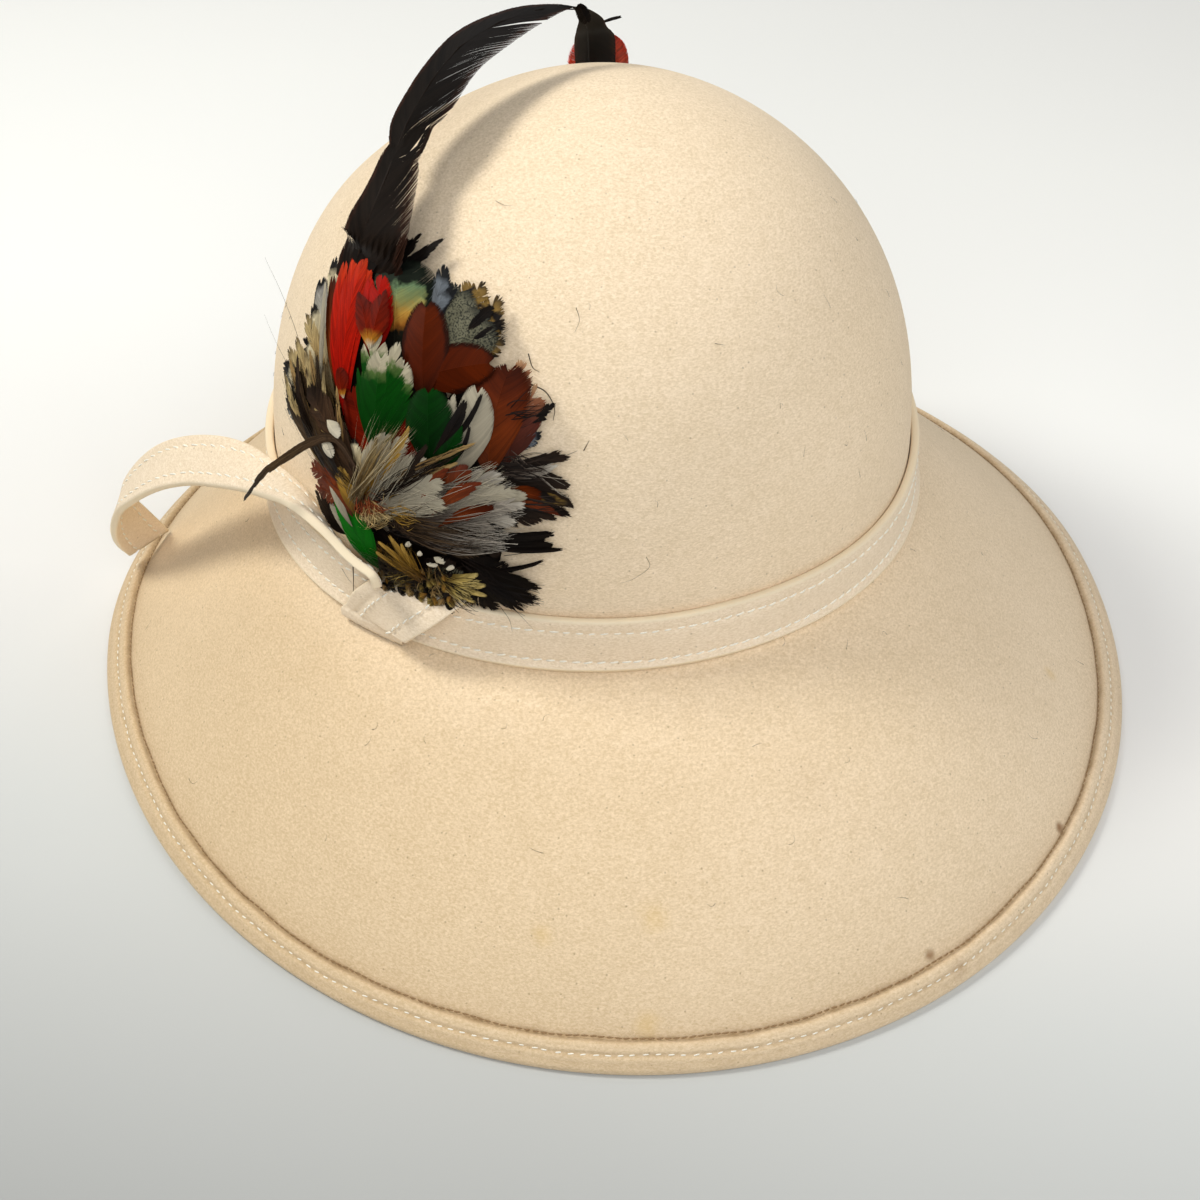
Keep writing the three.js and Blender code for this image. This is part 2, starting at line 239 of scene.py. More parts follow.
def unevenness(angle, v, point):
    """How far the old felt stands off its first shape; nothing at the edge that it rests on.

    The waves are 0.2 to 0.45 mm high, and their odd lengths and starts keep them from repeating.
    """
    x, y, z = point[..., 0], point[..., 1], point[..., 2]
    waves = 0.45 * np.sin(x / 27 + y / 41 + 0.6) + 0.3 * np.sin(y / 19 - z / 23 + 2.1)
    waves = waves + 0.2 * np.sin(x / 13 + z / 17 + 4.0) * np.sin(y / 15)
    inboard = np.clip((brim_reach(angle) + v) / WAVE_FADE, 0, 1)
    near = (x - DENT["x"]) ** 2 + (y - DENT["y"]) ** 2 + (z - DENT["z"]) ** 2
    return waves * inboard - DENT["depth"] * np.exp(-near / DENT["reach"] ** 2)


def on_felt(angle, v, lift=0.0):
    """A point lift off the felt's upper side, or inside it where lift is negative."""
    angle, v, lift = np.broadcast_arrays(np.asarray(angle, float), np.asarray(v, float), lift)
    point = block_point(angle, v)
    return point + felt_normal(angle, v) * (lift + unevenness(angle, v, point))[..., None]


print("crown top", on_felt(np.array([0.0]), np.array([CROWN["height"]])).round(1))

# %% [markdown]
# ## From arrays to a mesh
# Every piece here is an array of points and an array of faces. One function makes the object,
# gives it its named values for the shader, smooths it, and says which body and which finish
# it belongs to. Blender's own operators could build the same meshes one step at a time, but
# they depend on what is selected, and arrays don't.

# %% Mesh helpers
def make_piece(name, points, faces, material, uv=None, values=None):
    """Makes a smooth piece from points in millimetres, riding on the hat."""
    faces = [np.asarray(f) for f in (faces if isinstance(faces, list) else [faces])]
    mesh = bpy.data.meshes.new(name)
    mesh.vertices.add(len(points))
    mesh.vertices.foreach_set("co", (np.asarray(points, np.float32) / 1000).ravel())
    corners = np.concatenate([f.ravel() for f in faces])
    sizes = np.concatenate([np.full(len(f), f.shape[1]) for f in faces])
    mesh.loops.add(len(corners))
    mesh.loops.foreach_set("vertex_index", corners.astype(np.int32))
    mesh.polygons.add(len(sizes))
    mesh.polygons.foreach_set("loop_start", (np.cumsum(sizes) - sizes).astype(np.int32))
    mesh.polygons.foreach_set("use_smooth", np.full(len(sizes), True))
    if uv is not None:
        layer = mesh.uv_layers.new(name="UVMap")
        layer.data.foreach_set("uv", np.asarray(uv, np.float32)[corners].ravel())
    for label, value in (values or {}).items():
        attribute = mesh.attributes.new(label, "FLOAT", "POINT")
        attribute.data.foreach_set("value", np.asarray(value, np.float32))
    mesh.update(calc_edges=True)
    mesh.validate()
    mesh.materials.append(material)
    piece = bpy.data.objects.new(name, mesh)
    bpy.context.scene.collection.objects.link(piece)
    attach(piece, "root")
    print(f"{name}: {int((sizes - 2).sum())} triangles")
    return piece


def grid_faces(rows, columns, wrap_rows=False, wrap_columns=False):
    """The four-sided faces of a grid of points, row after row."""
    r = np.arange(rows if wrap_rows else rows - 1)[:, None]
    c = np.arange(columns if wrap_columns else columns - 1)[None, :]
    here, below = r * columns, ((r + 1) % rows) * columns
    right = (c + 1) % columns
    return np.stack([here + c, below + c, below + right, here + right], -1).reshape(-1, 4)


def join(parts):
    """Joins (points, faces, uv, value) parts into one of each."""
    start = np.cumsum([0] + [len(part[0]) for part in parts[:-1]])
    faces = np.concatenate([part[1] + first for part, first in zip(parts, start)])
    points, uv, value = (np.concatenate([part[i] for part in parts]) for i in (0, 2, 3))
    return points, faces, uv, value


def closed_skin(rings, inside_out=False):
    """Points and faces of a skin through rings of points, with a fan over the first and last."""
    rings = np.asarray(rings)
    rows, around = rings.shape[:2]
    points = np.vstack([rings.reshape(-1, 3), rings[0].mean(axis=0), rings[-1].mean(axis=0)])
    i = np.arange(around)
    j = (i + 1) % around
    base = (rows - 1) * around
    first, last = np.full(around, rows * around), np.full(around, rows * around + 1)
    grid = grid_faces(rows, around, wrap_columns=True)
    if inside_out:
        grid, i, j = grid[:, ::-1], j, i
    return points, [grid, np.stack([first, i, j], -1), np.stack([last, base + j, base + i], -1)]


print("a 3 by 3 grid has", len(grid_faces(3, 3)), "faces")

# %% [markdown]
# ## Wool felt
# Felt is not woven. Wool fibres are wetted, heated and rubbed until they mat, then the hat is
# steamed and brushed. The eye sees a matt, slightly cloudy cream with a fine short nap, specks
# of darker fibre, and a soft bright rim where the nap catches the light. A picture of felt
# could be wrapped on, but it would show seams on a dome, so the nap is noise in space. The
# fibres are about 0.03 mm thick, too fine to show, so the nap is drawn at 0.4 mm, and longer
# round the hat, the way it was brushed.

# %% The nap of wool felt
NAP = 0.4  # mm
BRUSHED = 0.45  # below 1, the nap is longer on the level than it is high
CLOUD = 6.0  # mm between thick and thin places of the mat
PATCH = 45.0  # mm between lighter and darker parts of the hat
SPECK = 3.4  # mm between specks of darker fibre
SPECK_COLOUR = "#8B7556"


def nap_of(felt, place):
    """The cloudy mat of fibres, and its nap alone."""
    brushed = add_node(felt, "VectorMath", TIMES, Vector_0=place, Vector_1=(BRUSHED, BRUSHED, 1.0))
    nap = add_node(
        felt, "TexNoise", Vector=brushed, Scale=1000 / NAP, Detail=3.0, Roughness=0.75, Distortion=0.5
    )
    cloud = add_node(felt, "TexNoise", Vector=place, Scale=1000 / CLOUD, Detail=4.0, Roughness=0.6)
    patch = add_node(felt, "TexNoise", Vector=place, Scale=1000 / PATCH, Detail=2.0)
    mixed = add_node(felt, "Math", TIMES_PLUS, Value_0=nap, Value_1=0.95, Value_2=-0.09)
    mixed = add_node(felt, "Math", TIMES_PLUS, Value_0=cloud, Value_1=0.12, Value_2=mixed)
    mixed = add_node(felt, "Math", TIMES_PLUS, Value_0=patch, Value_1=0.11, Value_2=mixed)
    return mixed, nap, cloud


print("the nap is drawn at", NAP, "mm")

# %% [markdown]
# ## Painted shade, dust and stains on the felt
# The brim is painted darker and yellower than the crown, most of all on its left side: painted
# shade for the light that falls less on it. The groove beside the stitched edge, the stitch
# channel, the fold and the inside are painted darker: partly dust, partly painted shade in these
# hollows. A few drops have left faint stains. Each is one mask that mixes a colour in, so each
# can be changed by itself. The dust and shade come from the mesh, which knows how deep in the
# groove each point lies.

# %% Painted shade on the brim, dust and painted shade in the groove, and stains
# Painted shade: the brim is tinted darker and yellower than the crown, most on its left side, for the light
# that falls less on it.
BRIM_SHADE = dict(high=0.062, low=0.046, right=0.11, left=-0.11)  # m, where the tint begins and is full
BRIM_SHADE_TINT = "#EDE7DB"
# Dust and painted shade: the groove, the stitch channel, the fold and the inside of the hat are painted
# darker.
DUST_AND_SHADE_COLOUR, DUST_AND_SHADE_STRENGTH = "#9A7A4C", 1.15
STAIN_COLOURS = {"yellow": "#D9B66A", "brown": "#84592C"}
STAINS = [
    # x, y, z of the middle, radius, strength, kind
    (-16.6, -154.9, 10.5, 5.0, 0.34, "yellow"),
    (-12.6, -137.2, 29.2, 5.5, 0.26, "yellow"),
    (-39.5, -135.2, 24.8, 4.0, 0.3, "yellow"),
    (56.9, -142.5, 8.9, 2.3, 0.8, "brown"),
    (103.5, -104.5, 8.1, 2.4, 0.9, "brown"),
    (115.1, -57.2, 19.9, 3.4, 0.4, "yellow"),
    (63.7, -143.1, 4.2, 4.5, 0.35, "brown"),
    (-70.0, -92.0, 42.0, 7.0, 0.08, "brown"),
    (30.0, -110.0, 40.0, 12.0, 0.05, "brown"),
]


def shaded_brim(felt, colour, place):
    """The brim's painted shade: darker and yellower low on the hat, most on its left side."""
    apart = add_node(felt, "SeparateXYZ", Vector=place)
    low = add_node(
        felt, "MapRange", Value=apart.outputs["Z"], From_Min=BRIM_SHADE["high"], From_Max=BRIM_SHADE["low"],
        To_Min=0.0, To_Max=1.0,
    )
    leftward = add_node(
        felt, "MapRange", Value=apart.outputs["X"], From_Min=BRIM_SHADE["right"], From_Max=BRIM_SHADE["left"],
        To_Min=0.2, To_Max=1.0,
    )
    tint = add_node(felt, "Math", TIMES, Value_0=low, Value_1=leftward)
    return add_node(
        felt, "Mix", {"data_type": "RGBA", "blend_type": "MULTIPLY"}, Factor=tint, A=colour,
        B=linear(BRIM_SHADE_TINT),
    )


def dusty_and_shaded(felt, colour, cloud):
    """Dust and painted shade where the mesh says so, broken up by the cloudy mat."""
    soil = add_node(felt, "Attribute", {"attribute_name": "soil"}).outputs["Fac"]
    soil = add_node(felt, "Math", TIMES, Value_0=soil, Value_1=cloud)
    soil = add_node(
        felt, "Math", {"operation": "MULTIPLY", "use_clamp": True}, Value_0=soil, Value_1=DUST_AND_SHADE_STRENGTH
    )
    return add_node(felt, "Mix", COLOURS, Factor=soil, A=colour, B=linear(DUST_AND_SHADE_COLOUR))


def stained(felt, colour, place, cloud):
    """Round stains whose edges wander with the mat."""
    for x, y, z, radius, strength, kind in STAINS:
        away = add_node(
            felt, "VectorMath", {"operation": "DISTANCE"}, Vector_0=place,
            Vector_1=(x / 1000, y / 1000, z / 1000),
        ).outputs["Value"]
        edge = add_node(felt, "Math", TIMES_PLUS, Value_0=cloud, Value_1=-radius / 1000, Value_2=away)
        spot = add_node(
            felt, "MapRange", {"interpolation_type": "SMOOTHSTEP"}, Value=edge,
            From_Min=-radius / 2000, From_Max=radius / 2000, To_Min=strength, To_Max=0.0,
        )
        colour = add_node(felt, "Mix", COLOURS, Factor=spot, A=colour, B=linear(STAIN_COLOURS[kind]))
    return colour


print(len(STAINS), "stains")

# %% Wool felt material
# The cut edges are painted paler: partly their fresh fibre, partly a painted highlight where a top edge
# catches the light.
CUT_EDGE_AND_HIGHLIGHT = "#F0E0C2"


def wool_felt(name, light, dark, blocked):
    """Matted wool felt: matt and cloudy, with a soft bright rim from its sheen.

    The blocked felt has painted shade on its brim, dust and painted shade in its hollows, and stains; a
    strip's cut edge is paler, partly its fibre and partly a painted highlight.
    """
    felt = new_material(name)
    place = add_node(felt, "TexCoord").outputs["Object"]
    mixed, nap, cloud = nap_of(felt, place)
    colour = add_node(felt, "ValToRGB", {"stops": [(0.38, dark), (0.66, light)]}, Fac=mixed)
    specks = add_node(felt, "TexVoronoi", Vector=place, Scale=1000 / SPECK, Randomness=1.0)
    fleck = add_node(
        felt, "MapRange", Value=specks.outputs["Distance"], From_Min=0.04, From_Max=0.10,
        To_Min=0.5, To_Max=0.0,
    )
    colour = add_node(felt, "Mix", COLOURS, Factor=fleck, A=colour, B=linear(SPECK_COLOUR))
    if blocked:
        colour = shaded_brim(felt, colour, place)
        colour = dusty_and_shaded(felt, colour, cloud)
        colour = stained(felt, colour, place, cloud)
    else:
        # The paler cut edge is partly fresh fibre, partly a painted highlight.
        cut = add_node(felt, "Attribute", {"attribute_name": "cut"}).outputs["Fac"]
        colour = add_node(felt, "Mix", COLOURS, Factor=cut, A=colour, B=linear(CUT_EDGE_AND_HIGHLIGHT))
    height = add_node(felt, "Math", TIMES_PLUS, Value_0=cloud, Value_1=0.8, Value_2=nap)
    bump = add_node(felt, "Bump", Strength=0.35, Distance=0.0003, Height=height)
    shader = add_node(
        felt, "BsdfPrincipled", Base_Color=colour, Roughness=0.95, Normal=bump,
        Sheen_Weight=0.25, Sheen_Roughness=0.6, Sheen_Tint=linear("#FFF6E4"),
        Specular_IOR_Level=0.2,
    )
    add_node(felt, "OutputMaterial", Surface=shader)
    return felt


HAT_FELT = wool_felt("cream_wool_felt", "#FAE6CA", "#E0CAA8", blocked=True)
BAND_FELT = wool_felt("cream_wool_felt_strip", "#FBEAD2", "#E4D0B2", blocked=False)
print("felt materials:", HAT_FELT.name, "and", BAND_FELT.name)

# %% [markdown]
# ## The felt body
# One skin of felt runs from the crown's top down its outside, over the brim, round the folded
# edge and back up the inside, so the hat is hollow as the real one is. The edge is an
# overwelt: the felt is turned up on to the brim, pressed, and sewn down close to its cut edge.
# The mesh is built ring by ring from the shape functions. A displaced sphere would need far
# more faces for the same crisp groove beside the cut edge.

# %% The turned-up edge
AROUND = 384
ANGLES = np.linspace(0, 2 * np.pi, AROUND, endpoint=False)
SEW_IN = 3.3  # from the cut edge to the row of stitches
CHANNEL = dict(depth=0.38, half=0.75)  # how the stitches pull the felt in


def slope_of_edge(angle):
    """How much longer the brim's slope is than its level distance, near the edge."""
    return np.hypot(1, CROWN["foot"] * (3 - 2 * even_fall(angle)) / brim_reach(angle))


def welt_start(angle):
    """How far out the turned-up felt's cut edge lies. Shears leave it slightly uneven."""
    ragged = 0.14 * np.sin(5 * angle + 1) + 0.07 * np.sin(17 * angle + 2) + 0.05 * np.sin(61 * angle)
    return brim_reach(angle) + FELT - WELT_WIDTH / slope_of_edge(angle) + ragged


def fold_ring(turn):
    """A ring of the rounded fold, turn degrees from the upper side to the underside."""
    reach = brim_reach(ANGLES)
    normal = felt_normal(ANGLES, -reach + 0.1)
    outward = unit(block_point(ANGLES, -reach) - block_point(ANGLES, 1 - reach))
    turn = math.radians(turn)
    point = fold_point(ANGLES) + FELT * (normal * math.cos(turn) + outward * math.sin(turn))
    point[:, 2] = np.maximum(point[:, 2], 0)
    return point


reach = brim_reach(ANGLES)
print("the brim reaches out", reach.min().round(1), "to", reach.max().round(1), "mm")

# %% Rings of the felt body
STEP_TO_EDGE = 1.4  # the last even ring lies this far short of the cut edge
CUT_EDGE_RINGS = [
    # out from the cut edge, lift off the brim, dust and painted shade: down into the groove, then up over the
    # edge
    (-0.7, 0, 0.5), (-0.3, -0.15, 0.8), (-0.02, -0.35, 1.0), (0.05, 0.4, 1.0),
    (0.1, 1.3, 0.5), (0.3, 1.8, 0.3), (0.8, 2.05, 0.2),
]
ON_TOP = CUT_EDGE_RINGS[-1][0]
FOLD_IN = 0.6  # the turned-up felt lies flat up to this far short of the fold
PUFF = 0.22
# Painted shade, with some dust, on the rounded fold and on the inside of the hat.
FOLD_DUST_AND_SHADE, INSIDE_DUST_AND_SHADE = 0.35, 0.1


def felt_rings():
    """The rings of the felt body and the dust and painted shade on each, from the outer top to the inner top.
    """
    rings, soil = [], []

    def add(v, lift=0.0, darkening=0.0):
        rings.append(on_felt(ANGLES, v, lift))
        soil.append(np.full(AROUND, darkening))

    leans = np.radians(np.linspace(1.5, 86.5, 46))
    start, reach, slope = welt_start(ANGLES), brim_reach(ANGLES), slope_of_edge(ANGLES)
    for lean in leans:
        add(CROWN["height"] * math.cos(lean))
    for v in np.linspace(FOOT_ROUND, -FOOT_ROUND, 9):
        add(v)
    for share in np.linspace(0, 1, 36)[1:]:
        # Darker towards the groove: painted shade, with some dust.
        add(-(FOOT_ROUND + (start - STEP_TO_EDGE - FOOT_ROUND) * share), 0.0, 0.25 * share**18)
    for out, lift, darkening in CUT_EDGE_RINGS:
        add(-(start + out), lift, darkening)
    for share in np.linspace(0, 1, 22)[1:]:
        out = ON_TOP + (reach - FOLD_IN - start - ON_TOP) * share
        sewn = np.exp(-(((out * slope - SEW_IN) / CHANNEL["half"]) ** 2))
        puff = PUFF * np.sin(np.pi * share)
        rings.append(on_felt(ANGLES, -(start + out), FELT + puff - CHANNEL["depth"] * sewn))
        # The stitch channel is painted darker: painted shade in the crease, with some dust.
        soil.append(0.15 + 0.45 * sewn + 0.25 * share**6)
    for turn in range(0, 181, 15):
        rings.append(fold_ring(turn))
        soil.append(np.full(AROUND, FOLD_DUST_AND_SHADE))
    for share in np.linspace(1, 0, 24)[1:]:
        add(-(FOOT_ROUND + (reach - FOOT_ROUND) * share), -FELT, INSIDE_DUST_AND_SHADE)
    for v in np.linspace(-FOOT_ROUND, FOOT_ROUND, 7)[1:]:
        add(v, -FELT, INSIDE_DUST_AND_SHADE)
    for lean in leans[::-2]:
        add(CROWN["height"] * math.cos(lean), -FELT, INSIDE_DUST_AND_SHADE)
    return np.array(rings), np.array(soil)


def felt_body():
    """The whole hollow felt, closed at the crown's top outside and inside."""
    rings, soil = felt_rings()
    points, faces = closed_skin(rings)
    soil = np.concatenate([soil.ravel(), [0, 0]])
    return make_piece("blocked_felt", points, faces, HAT_FELT, values={"soil": soil})


body = felt_body()
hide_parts("felt_body")

# %% [markdown]
# ## Strips of felt
# The band, the keeper and the long tail are cut from the same felt: 16.5 mm wide and 2.4 mm
# thick, sewn with two rows of lockstitch 3.6 mm in from the edges. One cross-section serves
# all three. It has rounded edges and a shallow channel where each row of thread pulls in. The
# cut edges are painted paler and warmer than the faces, partly for their fresh fibre and partly
# as a painted highlight where an edge catches the light, so they carry their own value. A flat
# plane with a Solidify modifier would give square edges and no channels.

# %% The cross-section of a strip
STRIP = dict(width=16.5, thickness=2.4)
ROWS = (3.6, STRIP["width"] - 3.6)  # where the two rows of thread run
PULL = dict(half=0.6, face=0.32, back=0.25)  # the channel's half width and its depths
GAP = 0.3  # air between a strip and the felt it lies on
EDGE_HIDDEN = 0.5  # the section's lowest corner point, kept off the back face


def sewn_in(s):
    """How far into a channel the place s across the strip is, from 0 to 1."""
    return sum(np.exp(-(((s - row) / PULL["half"]) ** 2)) for row in ROWS)


def section_height(s):
    """The height of a strip's face at s across it."""
    return STRIP["thickness"] - PULL["face"] * sewn_in(s)


def strip_section(across=34):
    """Points round a strip's section: place across, height, and how much is cut edge."""
    width, thick = STRIP["width"], STRIP["thickness"]
    corner = [(0.0, EDGE_HIDDEN, 1.0), (0.0, thick - 0.55, 1.0), (0.12, thick - 0.2, 1.0)]
    corner += [(0.45, thick - 0.03, 0.6)]
    face = [(s, section_height(s), 0.0) for s in np.linspace(0.9, width - 0.9, across)]
    far = [(width - s, h, c) for s, h, c in corner[::-1]]
    back = [(s, PULL["back"] * sewn_in(s), 0.0) for s in np.linspace(width - 0.5, 0.5, across)]
    return np.array(corner + face + far + back)


SECTION = strip_section()
print("a strip's section has", len(SECTION), "points")

# %% The band round the crown
BAND_LOW, BAND_HIGH = -1.67, 17.0  # its edges, as the measure v on the felt
SIDE_ANGLE = -1.5  # the band's width is measured along the felt here
EASE = 0.25  # the most that its top edge stands away


def band_v(s):
    """The measure v at a distance s from the band's lower edge, along the felt."""
    v = np.linspace(BAND_LOW, BAND_HIGH, 80)
    arc = distances(block_point(np.full(80, SIDE_ANGLE), v))
    return np.interp(s / STRIP["width"] * arc[-1], arc, v)


def hat_band():
    """A closed ring of the strip. Its top edge stands a little away in places."""
    rings = []
    for s, height, _ in SECTION:
        ease = EASE * (np.sin(3 * ANGLES + 1) + np.sin(7 * ANGLES)) * (s / STRIP["width"]) ** 2
        rings.append(on_felt(ANGLES, band_v(s), GAP + height + np.maximum(ease, 0)))
    cut = np.repeat(SECTION[:, 2], AROUND)
    faces = grid_faces(len(SECTION), AROUND, wrap_rows=True, wrap_columns=True)[:, ::-1]
    return make_piece("felt_band", np.concatenate(rings), faces, BAND_FELT, values={"cut": cut})


band = hat_band()
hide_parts("hat_band")

# %% [markdown]
# ## The keeper and the tail
# A keeper is a short loop of the strip that hides the band's join. The long tail is the
# band's free end. It comes out of the keeper leaning away from the crown like a coat collar,
# arches over the brim and curls down to it. Both follow short tables of places, with a smooth
# curve through them. Felt this stiff holds a bend by itself, so nothing is simulated.

# %% The keeper loop
KEEPER = [
    # rise, left and right limit in degrees, stand off the felt
    (-4.2, 217.6, 229.8, 0.4), (-3.6, 217.7, 230.1, 1.6), (-2.2, 218.0, 230.6, 2.8),
    (0.0, 218.5, 231.2, 3.2), (3.5, 219.3, 232.4, 3.6), (8.0, 220.7, 234.6, 4.2),
    (13.0, 222.9, 237.6, 4.9), (16.6, 224.9, 239.8, 4.8), (18.9, 226.4, 241.4, 3.6),
    (20.4, 227.6, 242.2, 1.9), (21.0, 228.0, 242.5, 0.5),
]
CURL = 3.4  # how far its right-hand edge curls off the band
CURL_RISE = (-4.0, 18.0)  # between these rises


def keeper_point(rise, left, right, stand, s, height):
    """A point of the keeper. Its right-hand edge stands off the band."""
    share = s / STRIP["width"]
    up = np.clip((rise - CURL_RISE[0]) / (CURL_RISE[1] - CURL_RISE[0]), 0, 1)
    curl = CURL * np.clip(share, 0, 1) ** 2.2 * np.sin(np.pi * up)
    return on_felt(np.radians(left + (right - left) * share), rise, stand + height + curl)


def keeper_loop(rows=44):
    """The strip laid over the band. Its columns go round the section, and its rows go up."""
    rings = [keeper_point(*row, SECTION[:, 0], SECTION[:, 1]) for row in smooth_between(KEEPER, rows)]
    points, faces = closed_skin(rings, inside_out=True)
    cut = np.concatenate([np.tile(0.35 * SECTION[:, 2], rows), [0.2, 0.2]])
    return make_piece("felt_keeper", points, faces, BAND_FELT, values={"cut": cut})


keeper = keeper_loop()
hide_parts("band_keeper")

# %% The tail's run
TAIL = [
    # outer edge x, y, z, inner edge x, y, z
    (-70.5, -62.5, 77.5, -70.2, -52.0, 70.0),
    (-71.5, -63, 82, -71.7, -51, 73.5), (-74.8, -59.7, 83.3, -75.2, -47.2, 73.8),
    (-77.8, -55.5, 84.1, -78.2, -42.8, 74.4), (-80.5, -51, 85, -82, -36.5, 77.5),
    (-83.5, -47, 86.3, -84, -32.2, 79.8), (-87.5, -41, 86.6, -87.2, -25.3, 82),
    (-92, -33, 84.5, -91.2, -17, 82), (-97.1, -24.6, 81, -94.8, -8.5, 80.5),
    (-103.6, -15, 76.8, -101, 0.7, 80), (-111.1, -6, 72.5, -109, 9, 78),
    (-118.9, 2, 68.2, -118, 17.5, 73.5), (-126.5, 9, 63, -126.6, 24.8, 67),
    (-133, 15, 57, -133.5, 31.2, 58.5), (-138.8, 21, 50, -139.4, 37, 48.5),
    (-143.4, 27.5, 42.5, -142.5, 43, 39.5), (-146.2, 33.5, 34, -142, 47.8, 32.5),
    (-147.6, 38.5, 26, -139.8, 51, 26), (-147.6, 43.3, 18, -137.2, 54.8, 19),
    (-146.2, 47.5, 11.8, -134.8, 58.2, 12),
]
TAIL_ROWS = 120


def tail_frame():
    """The tail's middle line, the direction across it and the way its face looks."""
    runs = smooth_between(TAIL, TAIL_ROWS)
    outer, inner = runs[:, :3], runs[:, 3:]
    middle = (outer + inner) / 2
    across = unit(inner - outer)
    return middle, across, unit(np.cross(np.gradient(middle, axis=0), across))


def tail_point(row, s, height):
    """Points of the tail at rows of its run."""
    middle, across, face = (part[row] for part in TAIL_FRAME)
    return middle + across * (s - STRIP["width"] / 2) + face * (height - STRIP["thickness"] / 2)


TAIL_FRAME = tail_frame()


def felt_tail():
    """The strip along the tail's run, with a cut end."""
    points, faces = closed_skin(
        [tail_point(r, SECTION[:, :1], SECTION[:, 1:2]) for r in range(TAIL_ROWS)]
    )
    cut = np.tile(SECTION[:, 2], (TAIL_ROWS, 1))
    cut[-1] = 1.0
    cut = np.concatenate([cut.ravel(), [1.0, 1.0]])
    return make_piece("felt_tail", points, faces, BAND_FELT, values={"cut": cut})


tail = felt_tail()
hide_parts("band_tail")

# %% [markdown]
# ## Thread
# The rows are lockstitch in mercerised cotton, which is treated to be white and slightly
# glossy. Each stitch shows as a short bead that dives into the felt at both ends and lies a
# little aslant. The thread is only about 0.5 mm thick, so a faint slanting wave stands for its
# twist. A bead could be copied along a curve by an Array modifier, but real stitches vary a
# little, so each has its own length and slant in one mesh.

# %% Thread material and stitches
TWISTS = 2.5  # turns of the thread's plies in a stitch


def cotton_thread(name, dark, light):
    """Mercerised cotton: a little glossy, with a slanting twist that catches the light."""
    thread = new_material(name)
    across = add_node(thread, "UVMap")
    twist = add_node(thread, "TexWave", {"bands_direction": "DIAGONAL"}, Vector=across, Scale=TWISTS)
    colour = add_node(thread, "Mix", COLOURS, Factor=twist, A=linear(dark), B=linear(light))
    bump = add_node(thread, "Bump", Strength=0.3, Distance=0.0001, Height=twist)
    shader = add_node(thread, "BsdfPrincipled", Base_Color=colour, Roughness=0.5, Normal=bump)
    add_node(thread, "OutputMaterial", Surface=shader)
    return thread


THREAD = cotton_thread("mercerised_cotton_thread", "#EFEADA", "#FFFCF0")
# The brown thread in the groove is partly dust, partly painted shade of the groove.
GROOVE_THREAD_DUST_AND_SHADE = cotton_thread("groove_cotton_thread_dust_and_shade", "#7E603C", "#A1845C")
print("threads:", THREAD.name, "and", GROOVE_THREAD_DUST_AND_SHADE.name)

# %% A row of stitches
BEAD_RINGS, BEAD_SIDES = 7, 6
LOOK_AHEAD = 0.5  # the line's direction at a stitch is measured this far each way
UNEVEN = dict(place=0.12, slant=4, length=0.07)  # of a third of the pitch, in degrees, of the length
DIVE = (0.35, 0.9)  # how high the bead's middle stands and how far its ends dive, in thicknesses
FLATTENED = 0.8  # a bead is pressed this much flatter than it is wide


def stitch_row(line, normals, pitch, length, thick, slant, seed):
    """Stitches along a line of points. Returns joined points, faces, uv and values."""
    chance = np.random.default_rng(seed)
    steps = distances(line)
    count = int(steps[-1] / pitch)
    at = (np.arange(count) + 0.5) * pitch + chance.normal(0, UNEVEN["place"], count) * pitch / 3
    place = at_distance(at, steps, line)
    up = unit(at_distance(at, steps, normals))
    along = at_distance(at + LOOK_AHEAD, steps, line) - at_distance(at - LOOK_AHEAD, steps, line)
    along = unit(along - up * (along * up).sum(1, keepdims=True))
    side = np.cross(up, along)
    turn = np.radians(slant + chance.normal(0, UNEVEN["slant"], count))[:, None]
    run = along * np.cos(turn) + side * np.sin(turn)
    wide = side * np.cos(turn) - along * np.sin(turn)
    half = length / 2 * (1 + chance.normal(0, UNEVEN["length"], count))[:, None, None]
    t = np.linspace(-1, 1, BEAD_RINGS)[None, :, None]
    fat = np.sqrt(np.maximum(1.03 - t**2, 0.02))
    turn = np.arange(BEAD_SIDES) / BEAD_SIDES * 2 * np.pi
    centre = place[:, None] + run[:, None] * t * half + up[:, None] * thick * (DIVE[0] - DIVE[1] * t**4)
    round_x = np.cos(turn)[None, None, :, None] * wide[:, None, None]
    round_z = np.sin(turn)[None, None, :, None] * up[:, None, None]
    points = centre[:, :, None] + (round_x + round_z * FLATTENED) * (fat * thick / 2)[..., None]
    one = BEAD_RINGS * BEAD_SIDES
    faces = grid_faces(BEAD_RINGS, BEAD_SIDES, wrap_columns=True)[None]
    faces = faces + one * np.arange(count)[:, None, None]
    uv = np.stack(np.meshgrid(np.linspace(0, 1, BEAD_RINGS), turn / 6.3, indexing="ij"), -1)
    uv = np.tile(uv.reshape(-1, 2), (count, 1))
    return points.reshape(-1, 3), faces.reshape(-1, 4), uv, np.zeros(count * one)


print("each stitch has", BEAD_RINGS * BEAD_SIDES, "points")

# %% Rows of thread on the strips
BAND_STITCH = dict(pitch=3.2, length=2.85, thick=0.60)
TAIL_STITCH = dict(pitch=4.1, length=3.3, thick=0.58)
KEEPER_STITCH = dict(pitch=3.0, length=2.6, thick=0.58)
SLANT = 9  # degrees
KEEPER_ROWS = (4.8, 12.2)
SUNK = 0.05  # the keeper's thread starts this far under its face


